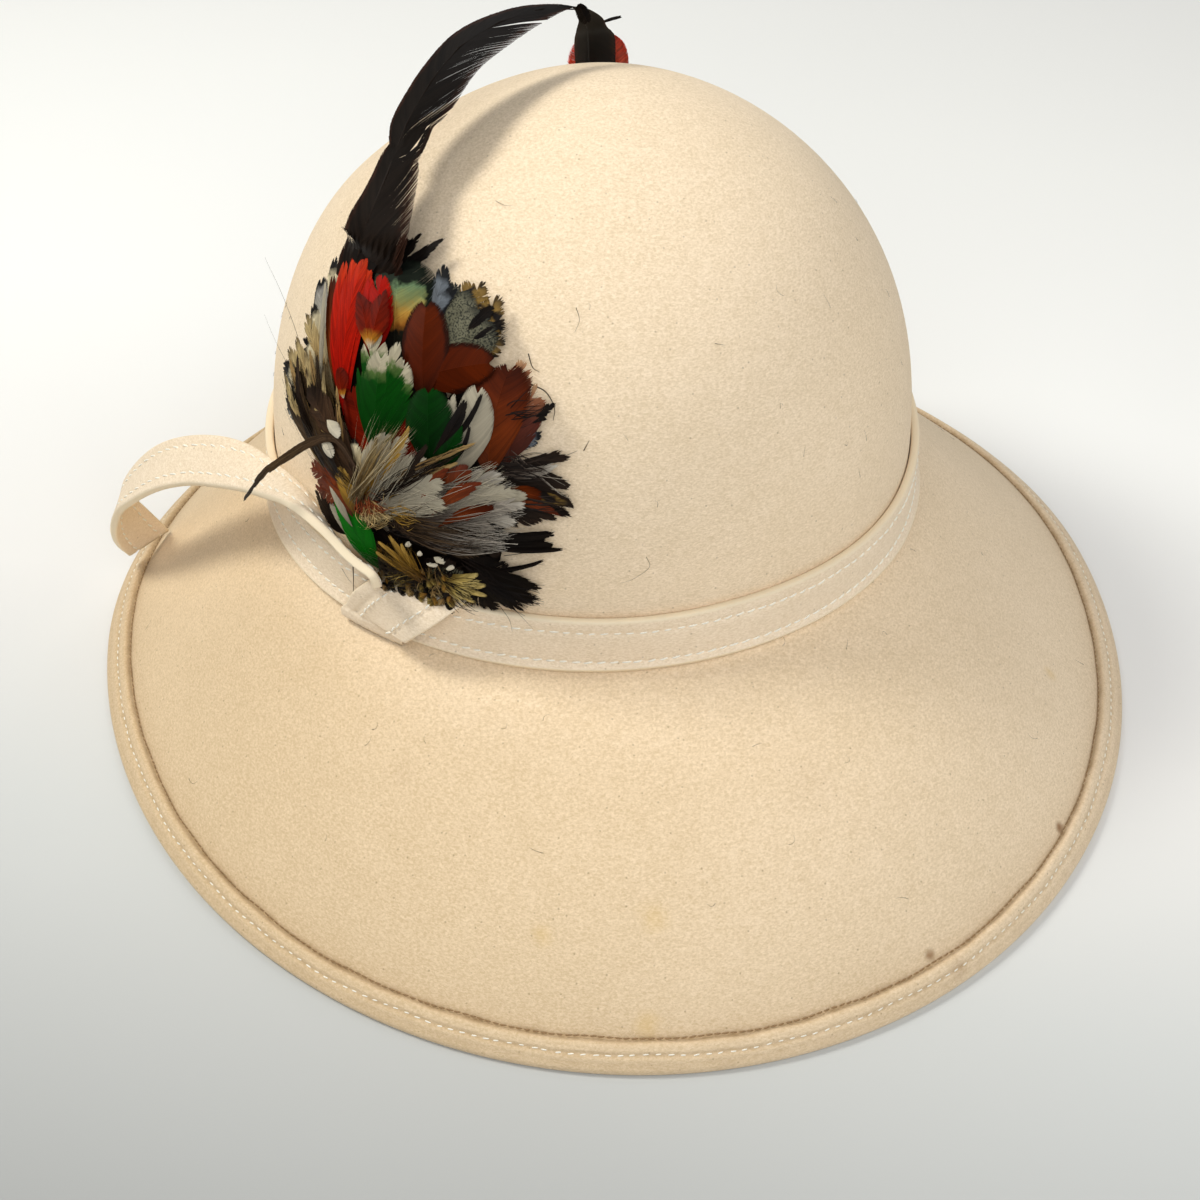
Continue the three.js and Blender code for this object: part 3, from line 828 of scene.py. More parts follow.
def band_stitches(s, seed):
    """A row round the band, a little wavy, as a hand guides it."""
    dense = np.linspace(0, 2 * np.pi, 900)
    v = band_v(s) + 0.12 * np.sin(13 * dense) + 0.08 * np.sin(37 * dense)
    line = on_felt(dense, v, GAP + section_height(s))
    return stitch_row(line, felt_normal(dense, v), **BAND_STITCH, slant=SLANT, seed=seed)


def tail_stitches(s, side, height, seed):
    """A row on the tail's face, or on its back where side is -1."""
    line = tail_point(np.arange(TAIL_ROWS), s, height)
    return stitch_row(line, TAIL_FRAME[2] * side, **TAIL_STITCH, slant=SLANT * side, seed=seed)


def keeper_stitches(s, seed):
    """A row up the keeper's front."""
    run = smooth_between(KEEPER, 60)[22:56]
    line = np.array([keeper_point(*row, s, STRIP["thickness"] - SUNK) for row in run])
    up = np.array([felt_normal(np.radians(row[1:3].mean()), row[0]) for row in run])
    return stitch_row(line, up, **KEEPER_STITCH, slant=SLANT, seed=seed)


def strip_stitches():
    """Every row of thread on the band, the keeper and the tail."""
    rows = []
    for n, s in enumerate(ROWS):
        rows.append(band_stitches(s, n))
        for side, height in ((1, section_height(s)), (-1, PULL["back"])):
            rows.append(tail_stitches(s, side, height, 10 + n + side))
    for n, s in enumerate(KEEPER_ROWS):
        rows.append(keeper_stitches(s, 20 + n))
    points, faces, uv, _ = join(rows)
    return make_piece("strip_stitching", points, faces, THREAD, uv=uv)


strip_stitches()

# %% Rows of thread on the brim's edge
EDGE_STITCH = dict(pitch=3.0, length=2.0, thick=0.4, slant=6, seed=40)
GROOVE_STITCH = dict(pitch=2.0, length=1.75, thick=0.42, slant=3, seed=50)
GROOVE_IN = 0.35  # from the cut edge back to the hidden row
SHOWING = 0.1  # how high these rows lie


def brim_stitches(name, v, lift, thread, stitch):
    """A row round the brim. v gives its place for each of the angles along it."""
    dense = np.linspace(0, 2 * np.pi, 1400)
    line, normals = on_felt(dense, v(dense), lift), felt_normal(dense, v(dense))
    points, faces, uv, _ = stitch_row(line, normals, **stitch)
    return make_piece(name, points, faces, thread, uv=uv)


def edge_row(angle):
    """The row that holds the turned-up edge down: finer, and half sunk in the nap."""
    return -(welt_start(angle) + SEW_IN / slope_of_edge(angle)) + 0.15 * np.sin(29 * angle)


def groove_row(angle):
    """The hidden row that turns the edge. Its brown thread is a fine dark line: partly dust, partly painted
    shade of the groove.
    """
    return -welt_start(angle) + GROOVE_IN + 0.1 * np.sin(31 * angle)


brim_stitches("edge_stitching", edge_row, FELT - CHANNEL["depth"] + SHOWING, THREAD, EDGE_STITCH)
brim_stitches("groove_stitching", groove_row, SHOWING, GROOVE_THREAD_DUST_AND_SHADE, GROOVE_STITCH)

# %% [markdown]
# ## How a feather is built
# A feather is a tapering shaft with a row of barbs on each side. Tiny hooks hold the barbs
# together into a smooth vane, and where the hooks let go the vane splits into points. Hair
# curves would also draw it, but a mesh of narrow ribbons keeps each barb's place, so that
# splits, frayed tips and coloured rims fall where they do on the real one. Real barbs lie
# about 0.15 mm apart; here they are about 0.25 mm apart, to show.

# %% The barbs of one vane
BARB_GAP = 0.25
VANE_ENDS = (0.02, 0.985)  # the first and last barb's root, as shares of the shaft
SHAFT_END = 0.93  # the shaft stops short of the tip
SHAFT_TAPER = 0.8
OVERLAP = 0.62  # half a barb's width, in gaps; over a half, so that barbs overlap
LOCK = 5  # barbs that hold together and share a shade
PALE = 2.0  # the shade of a shaft
NARROWEST = 0.15  # half the width of the narrowest vane


def vane_width(place, widest, blunt):
    """The vane's half width, at most 1, at a place from 0 at its base to 1 at its tip."""
    rising = np.sin(np.pi / 2 * np.clip(place / widest, 0, 1)) ** 0.6
    falling = np.clip(1 - (np.clip(place - widest, 0, 1) / (1 - widest)) ** 2, 0, 1) ** blunt
    return rising * falling


def ribbon_faces(count, steps):
    """Faces of count ribbons, each of steps pairs of points."""
    one = grid_faces(steps, 2)
    return (one[None] + 2 * steps * np.arange(count)[:, None, None]).reshape(-1, 4)


def vane(
    side, length, width, count, chance, fray, splits, sweep, cup, lay=0.05, steps=6, taper=0.9
):
    """One side's barbs. width gives the half width in millimetres at a place along the vane.

    Local points are side, along and up. A split is a place along the vane and its size. sweep
    is how far the barbs lean to the tip, cup how far the vane's edge drops, lay how far a barb
    tilts like a roof tile, and taper how thin its end is.
    """
    root = np.linspace(*VANE_ENDS, count) + chance.normal(0, 0.15 / count, count)
    tip = sweep + (1 - sweep) * root
    for place, size in splits:
        away = tip - place
        tip = tip + np.sign(away) * size * np.exp(-np.abs(away) / (size * 1.6))
    tip = np.clip(tip + chance.normal(0, 0.2 / count, count), 0, 1.0)
    short = 1 - fray * chance.random(count) ** 2 * 2
    end = np.stack([side * width(tip) * short, tip * length + chance.normal(0, fray, count)], -1)
    start = np.stack([0 * root, root * length * SHAFT_END], -1)
    bend = np.stack([end[:, 0] * 0.58, start[:, 1] + (end - start)[:, 1] * 0.36], -1)
    t = np.linspace(0, 1, steps)[None, :, None]
    line = pulled_curve(start[:, None], bend[:, None], end[:, None], t)
    way = 2 * (1 - t) * (bend - start)[:, None] + 2 * t * (end - bend)[:, None]
    way /= np.maximum(np.linalg.norm(way, axis=2, keepdims=True), 1e-6)
    across = np.stack([-way[..., 1], way[..., 0]], -1)
    root_gap = length / count
    tip_gap = np.linalg.norm(np.gradient(end, axis=0), axis=1)
    tip_gap = np.clip(tip_gap, 0.6 * root_gap, 2.2 * root_gap)
    half = (root_gap + (tip_gap[:, None, None] - root_gap) * t) * OVERLAP * (1 - taper * t**12)
    widest = max(float(np.max(width(np.linspace(0, 1, 50)))), 0.1)
    up = -cup * (line[..., :1] / widest) ** 2 + chance.normal(0, lay * 0.5, count)[:, None, None] * t
    points = []
    for edge, tilt in ((-1, -lay * 0.5), (1, lay * 0.5)):
        flat = line + across * half * edge
        points.append(np.concatenate([flat, up + tilt], -1))
    points = np.stack(points, axis=2)
    reach = np.broadcast_to(0.5 + side * t / 2, (count, steps, 2))
    uv = np.stack([reach, points[..., 1] / length], -1)
    locks = np.arange(0, count + LOCK, LOCK)
    lock = np.interp(np.arange(count), locks, chance.random(len(locks)))
    value = np.repeat(0.4 * chance.random(count) + 0.6 * lock, steps * 2)
    return points.reshape(-1, 3), ribbon_faces(count, steps), uv.reshape(-1, 2), value


print("a vane's half width, base to tip:", vane_width(np.linspace(0, 1, 5), 0.6, 0.5).round(2))

# %% A whole small feather, flat
def quill(length, thick, steps=14):
    """The shaft: a tapering four-sided rod, paler than the barbs."""
    along = np.linspace(0, length * SHAFT_END, steps)
    radius = (thick / 2 * (1 - SHAFT_TAPER * (along / length)))[:, None, None]
    ring = np.array([(1, 0), (0, 1), (-1, 0), (0, -0.6)])[None]
    middle = np.broadcast_to(along[:, None, None], (steps, 4, 1))
    points = np.concatenate([radius * ring[..., :1], middle, radius * ring[..., 1:]], -1)
    uv = np.stack([np.full((steps, 4), 0.5), np.repeat((along / length)[:, None], 4, 1)], -1)
    faces = grid_faces(steps, 4, wrap_columns=True)
    return points.reshape(-1, 3), faces, uv.reshape(-1, 2), np.full(steps * 4, PALE)


def feather(
    length, half, seed, widest, blunt, fray, splits, tear, cup, sweep, gap=BARB_GAP, thick=0.3
):
    """A whole small feather, flat, with its base at the origin and its tip along +Y.

    widest and blunt shape its outline, and tear is how wide its splits are.
    """
    chance = np.random.default_rng(seed)
    width = lambda place: half * vane_width(place, widest, blunt) + NARROWEST
    count = max(int(length / gap), 8)
    parts = [quill(length, thick)]
    for side in (-1, 1):
        torn = [
            (chance.uniform(0.45, 0.97), chance.uniform(0.4, 1.0) * tear) for _ in range(splits)
        ]
        parts.append(vane(side, length, width, count, chance, fray, torn, sweep, cup))
    return join(parts)


a_feather = feather(20, 5, 1, widest=0.6, blunt=0.5, fray=0.05, splits=1, tear=0.03, cup=0.8, sweep=0.3)
print("a feather of 20 mm has", len(a_feather[1]) * 2, "triangles")

# %% [markdown]
# ## Laying feathers on the crown
# The mount hugs the crown, so its feathers are placed on a map of the felt: x runs round the
# crown to the viewer's right, in millimetres, and m runs up it. Each feather is laid from its
# base to its tip at its own height over the felt, the way a milliner glues them: the outer
# ones first and the middle ones over their bases. A Shrinkwrap modifier would also press them
# to the felt, but it would press them all to one height.

# %% The crown's map
MAP_START = 230.0  # degrees round the hat, where x is 0
MAP_RADIUS = (CROWN["half_width"] + CROWN["half_length"]) / 2
LOWEST = 0.5  # no feather comes closer to the felt than this


def map_tables():
    """How far up the crown's slope each rise is."""
    rise = CROWN["height"] * np.linspace(0, 1, 3000)
    size = (1 - (rise / CROWN["height"]) ** CROWN["wall_power"]) ** (1 / CROWN["round_power"])
    return rise, size, distances(np.stack([MAP_RADIUS * size, rise], -1))


MAP_RISE, MAP_SIZE, MAP_UP = map_tables()


def on_crown(x, m, lift):
    """A point over the crown, from its place on the map and its height over the felt."""
    rise, size = np.interp(m, MAP_UP, MAP_RISE), np.interp(m, MAP_UP, MAP_SIZE)
    angle = math.radians(MAP_START) + x / (MAP_RADIUS * np.maximum(size, 0.05))
    return on_felt(angle, rise, lift)


def lay_on_crown(local, base, tip, lifts, bend, arch):
    """Lays a flat feather from base to tip on the map, between two heights over the felt.

    bend is how far its middle swings aside, and arch how far its middle stands up.
    """
    base, tip = np.asarray(base, float), np.asarray(tip, float)
    length = np.linalg.norm(tip - base)
    way = (tip - base) / length
    side = np.array([way[1], -way[0]])
    points, faces, uv, value = local
    share = points[:, 1] / length
    bow = 4 * share * (1 - share)
    place = base + way * points[:, 1:2] + side * (points[:, :1] + (bend * bow)[:, None])
    lift = lifts[0] + (lifts[1] - lifts[0]) * share + arch * bow + points[:, 2]
    return on_crown(place[:, 0], place[:, 1], np.maximum(lift, LOWEST)), faces, uv, value


print("a point of the map:", on_crown(np.array([0.0]), np.array([60.0]), 5.0).round(1))

# %% [markdown]
# ## What feathers are coloured like
# Keratin, the stuff of feathers, is a little glossy along each barb. A natural feather's
# colour changes along and across its vane: rims, bars, spots and speckles. A dyed one is one
# hue that pools darker in places. The vane's own map runs across and along it, so one
# function can build each finish from a ramp of colours along the vane and a few marks.

# %% What every finish shares
RAGGED = 1.6  # mm, the size of the waves in a colour's edge
WAVE_UP, WAVE_ASIDE = 0.12, 0.1  # how far they carry it, as shares of the vane
SPECKLE_MASK, STRIPE_MASK = (0.48, 0.62), (0.40, 0.50)
RIM_SOFT = 0.06


def keratin(
    name, along, rim=None, centre=None, speckle=None, shine=0.1, sheen="#FFFFFF", vary=0.35, rim_from=0.43
):
    """A feather's finish. along is a ramp of (place, colour) from base to tip.

    rim and centre are colours of the vane's edge and of its middle stripe, and speckle is a
    (colour, size in mm). vary is how much barbs differ. A feather's cells face many ways, so
    its shine is weak.
    """
    finish = new_material(name)
    parts = add_node(finish, "SeparateXYZ", Vector=add_node(finish, "UVMap"))
    across, up = parts.outputs["X"], parts.outputs["Y"]
    place = add_node(finish, "TexCoord").outputs["Object"]
    ragged = add_node(finish, "TexNoise", Vector=place, Scale=1000 / RAGGED, Detail=2.0)
    wander = add_node(finish, "Math", TIMES_PLUS, Value_0=ragged, Value_1=WAVE_UP, Value_2=up)
    wander = add_node(finish, "Math", MINUS, Value_0=wander, Value_1=WAVE_UP / 2)
    colour = add_node(finish, "ValToRGB", {"stops": along}, Fac=wander)
    aside = add_node(finish, "Math", MINUS, Value_0=across, Value_1=0.5)
    aside = add_node(finish, "Math", {"operation": "ABSOLUTE"}, Value_0=aside)
    aside = add_node(finish, "Math", TIMES_PLUS, Value_0=ragged, Value_1=WAVE_ASIDE, Value_2=aside)
    marks = []
    if speckle:
        grain = add_node(finish, "TexNoise", Vector=place, Scale=1000 / speckle[1], Detail=1.0)
        marks.append((grain, *SPECKLE_MASK, speckle[0]))
    if centre:
        stripe = add_node(finish, "Math", MINUS, Value_0=0.62, Value_1=aside)
        marks.append((stripe, *STRIPE_MASK, centre))
    if rim:
        marks.append((aside, rim_from, rim_from + RIM_SOFT, rim))
    for mark, low, high, paint in marks:
        mask = add_node(finish, "MapRange", Value=mark, From_Min=low, From_Max=high)
        colour = add_node(finish, "Mix", COLOURS, Factor=mask, A=colour, B=linear(paint))
    barb = add_node(finish, "Attribute", {"attribute_name": "barb"}).outputs["Fac"]
    depth = add_node(
        finish, "MapRange", Value=barb, From_Min=0.0, From_Max=1.0, To_Min=1.0 - vary, To_Max=1.0 + vary
    )
    colour = add_node(finish, "HueSaturation", Color=colour, Value=depth)
    shader = add_node(
        finish, "BsdfPrincipled", Base_Color=colour, Roughness=0.5, Specular_IOR_Level=shine,
        Specular_Tint=linear(sheen),
    )
    add_node(finish, "OutputMaterial", Surface=shader)
    return finish


print("a colour's edge wanders over", RAGGED, "mm")

# %% Dyed goose and marabou
FINISHES = {
    # dyed goose: a strong red, darker at its base and orange where its tip is worn
    "red": keratin(
        "red_dyed_goose", [(0.0, "#6E0802"), (0.35, "#940E02"), (0.8, "#A01803"), (1.0, "#B0300C")],
        shine=0.05, vary=0.5,
    ),
    # the same dye where it pooled: a deep, even red
    "dark_red": keratin(
        "dark_red_dyed_goose", [(0.0, "#500A02"), (0.5, "#860801"), (1.0, "#9A0E02")],
        shine=0.05, vary=0.4,
    ),
    # dyed marabou is thin and soft, so it looks lighter, a coral red
    "coral": keratin(
        "red_dyed_marabou", [(0.0, "#F47258"), (0.5, "#F86044"), (0.85, "#E84A30"), (1.0, "#B82C18")],
        shine=0.05, vary=0.5,
    ),
    # dyed goose: wine red over a pale base that the dye missed
    "maroon": keratin(
        "maroon_dyed_goose", [(0.0, "#A8A08C"), (0.14, "#9E6A20"), (0.32, "#661403"), (1.0, "#500C02")],
        shine=0.05, vary=0.45,
    ),
    # dyed goose: bottle green, with a pale tip that the dye missed
    "green": keratin(
        "green_dyed_goose",
        [(0.0, "#011C02"), (0.3, "#023103"), (0.70, "#043B05"), (0.79, "#4A6030"), (0.84, "#9E967E"),
         (1.0, "#AAA28C")],
        shine=0.06, vary=0.3,
    ),
    # the same green all the way to the tip
    "deep_green": keratin(
        "deep_green_dyed_goose", [(0.0, "#011601"), (1.0, "#023004")],
        shine=0.06, vary=0.35,
    ),
    # goose in a brighter dye: grass green
    "bright_green": keratin(
        "bright_green_dyed_goose", [(0.0, "#033A04"), (0.4, "#055206"), (1.0, "#086208")],
        vary=0.3,
    ),
    # undyed goose: a warm white, yellowed by age; its grey, darkest at the base, is painted shade from the
    # mount around it
    "white": keratin("white_goose_painted_shade", [(0.0, "#6E6656"), (0.5, "#8E8674"), (1.0, "#A29A86")], vary=0.22),
}
print(len(FINISHES), "feather finishes so far")

# %% Pheasant and mallard
FINISHES |= {
    # a pheasant's breast: red brown with a dark rim
    "chestnut": keratin(
        "pheasant_chestnut", [(0.0, "#1C0802"), (0.3, "#431302"), (0.88, "#4F1902"), (1.0, "#280C03")],
        rim="#2A0C03", shine=0.04, vary=0.25,
    ),
    # a pheasant's flank: warmer and lighter, without the rim
    "russet": keratin(
        "pheasant_russet", [(0.0, "#421A06"), (0.45, "#642808"), (0.75, "#4C1A04"), (1.0, "#381104")],
        shine=0.05, vary=0.4,
    ),
    # chestnut that light has bleached towards its tip
    "chestnut_pale": keratin(
        "pheasant_chestnut_worn",
        [(0.0, "#2A0F07"), (0.6, "#4A1D10"), (0.85, "#7A4A30"), (1.0, "#A88460")],
    ),
    # a pheasant's neck: bronze to green gold with a black rim, and it glints green
    "irid": keratin(
        "pheasant_green_gold",
        [(0.0, "#0A0807"), (0.40, "#0E0A07"), (0.46, "#7A4A18"), (0.56, "#A07A34"), (0.66, "#7C7E4C"),
         (0.76, "#5A7050"), (0.81, "#0B0D0B"), (1.0, "#080909")],
        rim="#060706", shine=0.12, sheen="#C8E8C0", vary=0.45, rim_from=0.38,
    ),
    # a pheasant's rump: grey green with fine dark speckles
    "speckled": keratin(
        "pheasant_grey_green",
        [(0.0, "#1C1A14"), (0.3, "#56543F"), (0.85, "#646250"), (0.97, "#1E1F1C"), (1.0, "#131212")],
        speckle=("#2F3028", 0.45), vary=0.3,
    ),
    # a pheasant's back: brown and olive with large dark spots
    "olive": keratin(
        "pheasant_olive_spotted",
        [(0.0, "#1E0E07"), (0.3, "#5A2A0E"), (0.6, "#6A5220"), (0.85, "#7A6030"), (1.0, "#2A2118")],
        speckle=("#140E0A", 2.6),
    ),
    # a pheasant's wing: straw colour between two dark ends
    "ochre": keratin(
        "ochre_barred_pheasant",
        [(0.0, "#1E170E"), (0.35, "#6A5626"), (0.6, "#A89250"), (0.92, "#B4A064"), (1.0, "#1A140C")],
        vary=0.4,
    ),
    # a pheasant's crest: a dull gold
    "gold": keratin("gold_pheasant", [(0.0, "#4A2E0E"), (0.5, "#8A6826"), (1.0, "#A08040")], vary=0.45),
    # a mallard's wing: blue grey with a black end
    "blue": keratin(
        "mallard_blue_grey",
        [(0.0, "#0C0D10"), (0.5, "#4A4E52"), (0.78, "#5E646A"), (0.88, "#101114"), (1.0, "#0B0B0D")],
        rim="#14161A",
    ),
}
print(len(FINISHES), "feather finishes so far")

# %% Partridge, guinea fowl, cockerel and down
FINISHES |= {
    # a partridge's flank: cream with a black end
    "cream": keratin(
        "partridge_cream",
        [(0.0, "#6E5E40"), (0.5, "#A29270"), (0.80, "#C0B494"), (0.88, "#15110E"), (1.0, "#0E0B0A")],
        vary=0.4,
    ),
    # a partridge's breast: soft grey with a black end and rim
    "grey": keratin(
        "partridge_grey",
        [(0.0, "#7C7668"), (0.6, "#ABA595"), (0.85, "#85827C"), (0.93, "#131314"), (1.0, "#0E0E0E")],
        rim="#1C1B1B",
    ),
    # guinea fowl: a dark brown ground; its spots are laid on it one by one
    "guinea": keratin("guinea_fowl", [(0.0, "#2A1C10"), (0.7, "#3A281A"), (1.0, "#1A120C")], vary=0.7),
    # the clean white of a guinea fowl's spots
    "spot": keratin("white_spot", [(0.0, "#C4BAA2"), (1.0, "#D2C9B4")], vary=0.1),
    # a cockerel's body: a dull brownish black, uneven from barb to barb
    "black": keratin(
        "black_cockerel", [(0.0, "#160F0B"), (0.6, "#0E0A08"), (1.0, "#140E0A")],
        shine=0.06, vary=0.6,
    ),
    # a cockerel's tail: black with a brown rim, a little glossier
    "sickle": keratin(
        "black_sickle_keratin",
        [(0.0, "#1C130D"), (0.3, "#120D09"), (0.8, "#0D0907"), (1.0, "#24150C")],
        rim="#2A1810", shine=0.08, vary=0.6,
    ),
    # a hackle: tan with a dark stripe along its shaft
    "brown": keratin(
        "brown_hackle", [(0.0, "#4A3219"), (0.5, "#6C5230"), (1.0, "#8A7147")],
        centre="#1A110A", vary=0.5,
    ),
    # a dark hackle: blackish brown, very uneven
    "dark_hackle": keratin(
        "dark_hackle", [(0.0, "#32241A"), (0.6, "#423220"), (1.0, "#241A12")],
        vary=0.7,
    ),
    # a pale hackle: sand colour with a dark tip
    "beige": keratin(
        "beige_hackle", [(0.0, "#4C3820"), (0.5, "#8A7044"), (0.85, "#A89468"), (1.0, "#3A2C1C")],
        vary=0.5,
    ),
    # a rust brown hackle
    "rust": keratin("rust_hackle", [(0.0, "#3A1A0C"), (0.5, "#6A2E10"), (1.0, "#5C2410")], vary=0.45),
    # an under feather, near black: painted shade that fills the gaps between feathers
    "dusky": keratin(
        "near_black_painted_shade_feather", [(0.0, "#100A07"), (0.6, "#1A110B"), (1.0, "#241911")],
        vary=0.6,
    ),
    # down: dark at its base, pale grey where its barbs float apart
    "smoke": keratin(
        "grey_down", [(0.0, "#221A15"), (0.45, "#4A4038"), (0.8, "#8A8276"), (1.0, "#B4ADA0")],
        vary=0.45,
    ),
}
print(len(FINISHES), "feather finishes")

# %% [markdown]
# ## The mount
# Milliners' mounts are glued on a small base of stiff buckram. It is hidden, so here it is a
# plain near-black dome, which shows as painted shade between the feathers. The feathers round
# it come from several birds: pheasant, guinea fowl, partridge, and goose that was dyed red or
# green. Near-black under feathers, painted shade, fill the gaps between them. The table lists
# them in the order they were laid. Scattering them by chance would be shorter, but a mount is
# made feather by feather.

# %% The base under the feathers
BASE = dict(low=26, high=88, x=14, lean=34, half=21, margin=0.5, lift=0.8, dome=3.4)
HALF_SHADE = 0.4  # the shade of a piece that has no barbs of its own


def mount_base(rows=22, columns=26):
    """A low dome of stiff buckram that the feathers are glued to; its near-black finish is painted shade
    where it shows.
    """
    m = np.linspace(BASE["low"], BASE["high"], rows)
    share = (m - BASE["low"]) / (BASE["high"] - BASE["low"])
    middle = BASE["x"] - BASE["lean"] * share
    half = BASE["half"] * np.sqrt(np.clip(1 - (2 * share - 1) ** 4, 0, 1)) * (1 - 0.25 * share)
    across = np.linspace(-1, 1, columns)
    x = middle[:, None] + (half + BASE["margin"])[:, None] * across[None]
    rounded = np.sqrt(np.clip(1 - (2 * share - 1) ** 6, 0, 1))[:, None]
    lift = BASE["lift"] + BASE["dome"] * (1 - across[None] ** 4) * rounded
    points = on_crown(x, np.repeat(m[:, None], columns, 1), lift)
    uv = np.stack(np.broadcast_arrays(across[None] * 0.5 + 0.5, share[:, None]), -1)
    return make_piece(
        "mount_base", points.reshape(-1, 3), grid_faces(rows, columns)[:, ::-1], FINISHES["dusky"],
        uv=uv.reshape(-1, 2), values={"barb": np.full(rows * columns, HALF_SHADE)},
    )


base = mount_base()
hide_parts("feather_mount")

# %% The table of feathers
SHAPES = {
    # kind: place of the widest point, bluntness, fray, splits, size of a split, cup, sweep
    "round": (0.64, 0.5, 0.015, 1, 0.012, 0.8, 0.55),
    "oval": (0.52, 0.45, 0.015, 0, 0.0, 0.9, 0.50),
    "fan": (0.78, 0.5, 0.02, 1, 0.012, 0.6, 0.55),
    "crown": (0.60, 0.6, 0.05, 4, 0.05, 0.7, 0.50),
    "torn": (0.62, 0.6, 0.22, 4, 0.05, 0.6, 0.40),
    "soft": (0.62, 0.6, 0.20, 5, 0.04, 0.9, 0.40),
    "point": (0.45, 1.0, 0.10, 2, 0.03, 0.5, 0.45),
    "narrow": (0.50, 0.55, 0.06, 2, 0.03, 0.5, 0.50),
    "strip": (0.75, 0.35, 0.35, 3, 0.05, 0.3, 0.55),
    "wisp": (0.60, 0.60, 0.50, 6, 0.03, 0.3, 0.70),
    "hackle": (0.50, 0.80, 0.35, 5, 0.04, 0.3, 0.25),
    "foot": (0.50, 0.90, 0.20, 4, 0.05, 0.4, 0.50),
    "stripped": (0.45, 0.80, 0.30, 6, 0.04, 0.3, 0.20),
    "marabou": (0.35, 0.60, 0.03, 2, 0.02, 0.8, 0.30),
    "scrap": (0.50, 0.35, 0.03, 0, 0.00, 0.2, 0.10),
}
print(len(SHAPES), "shapes of feather")

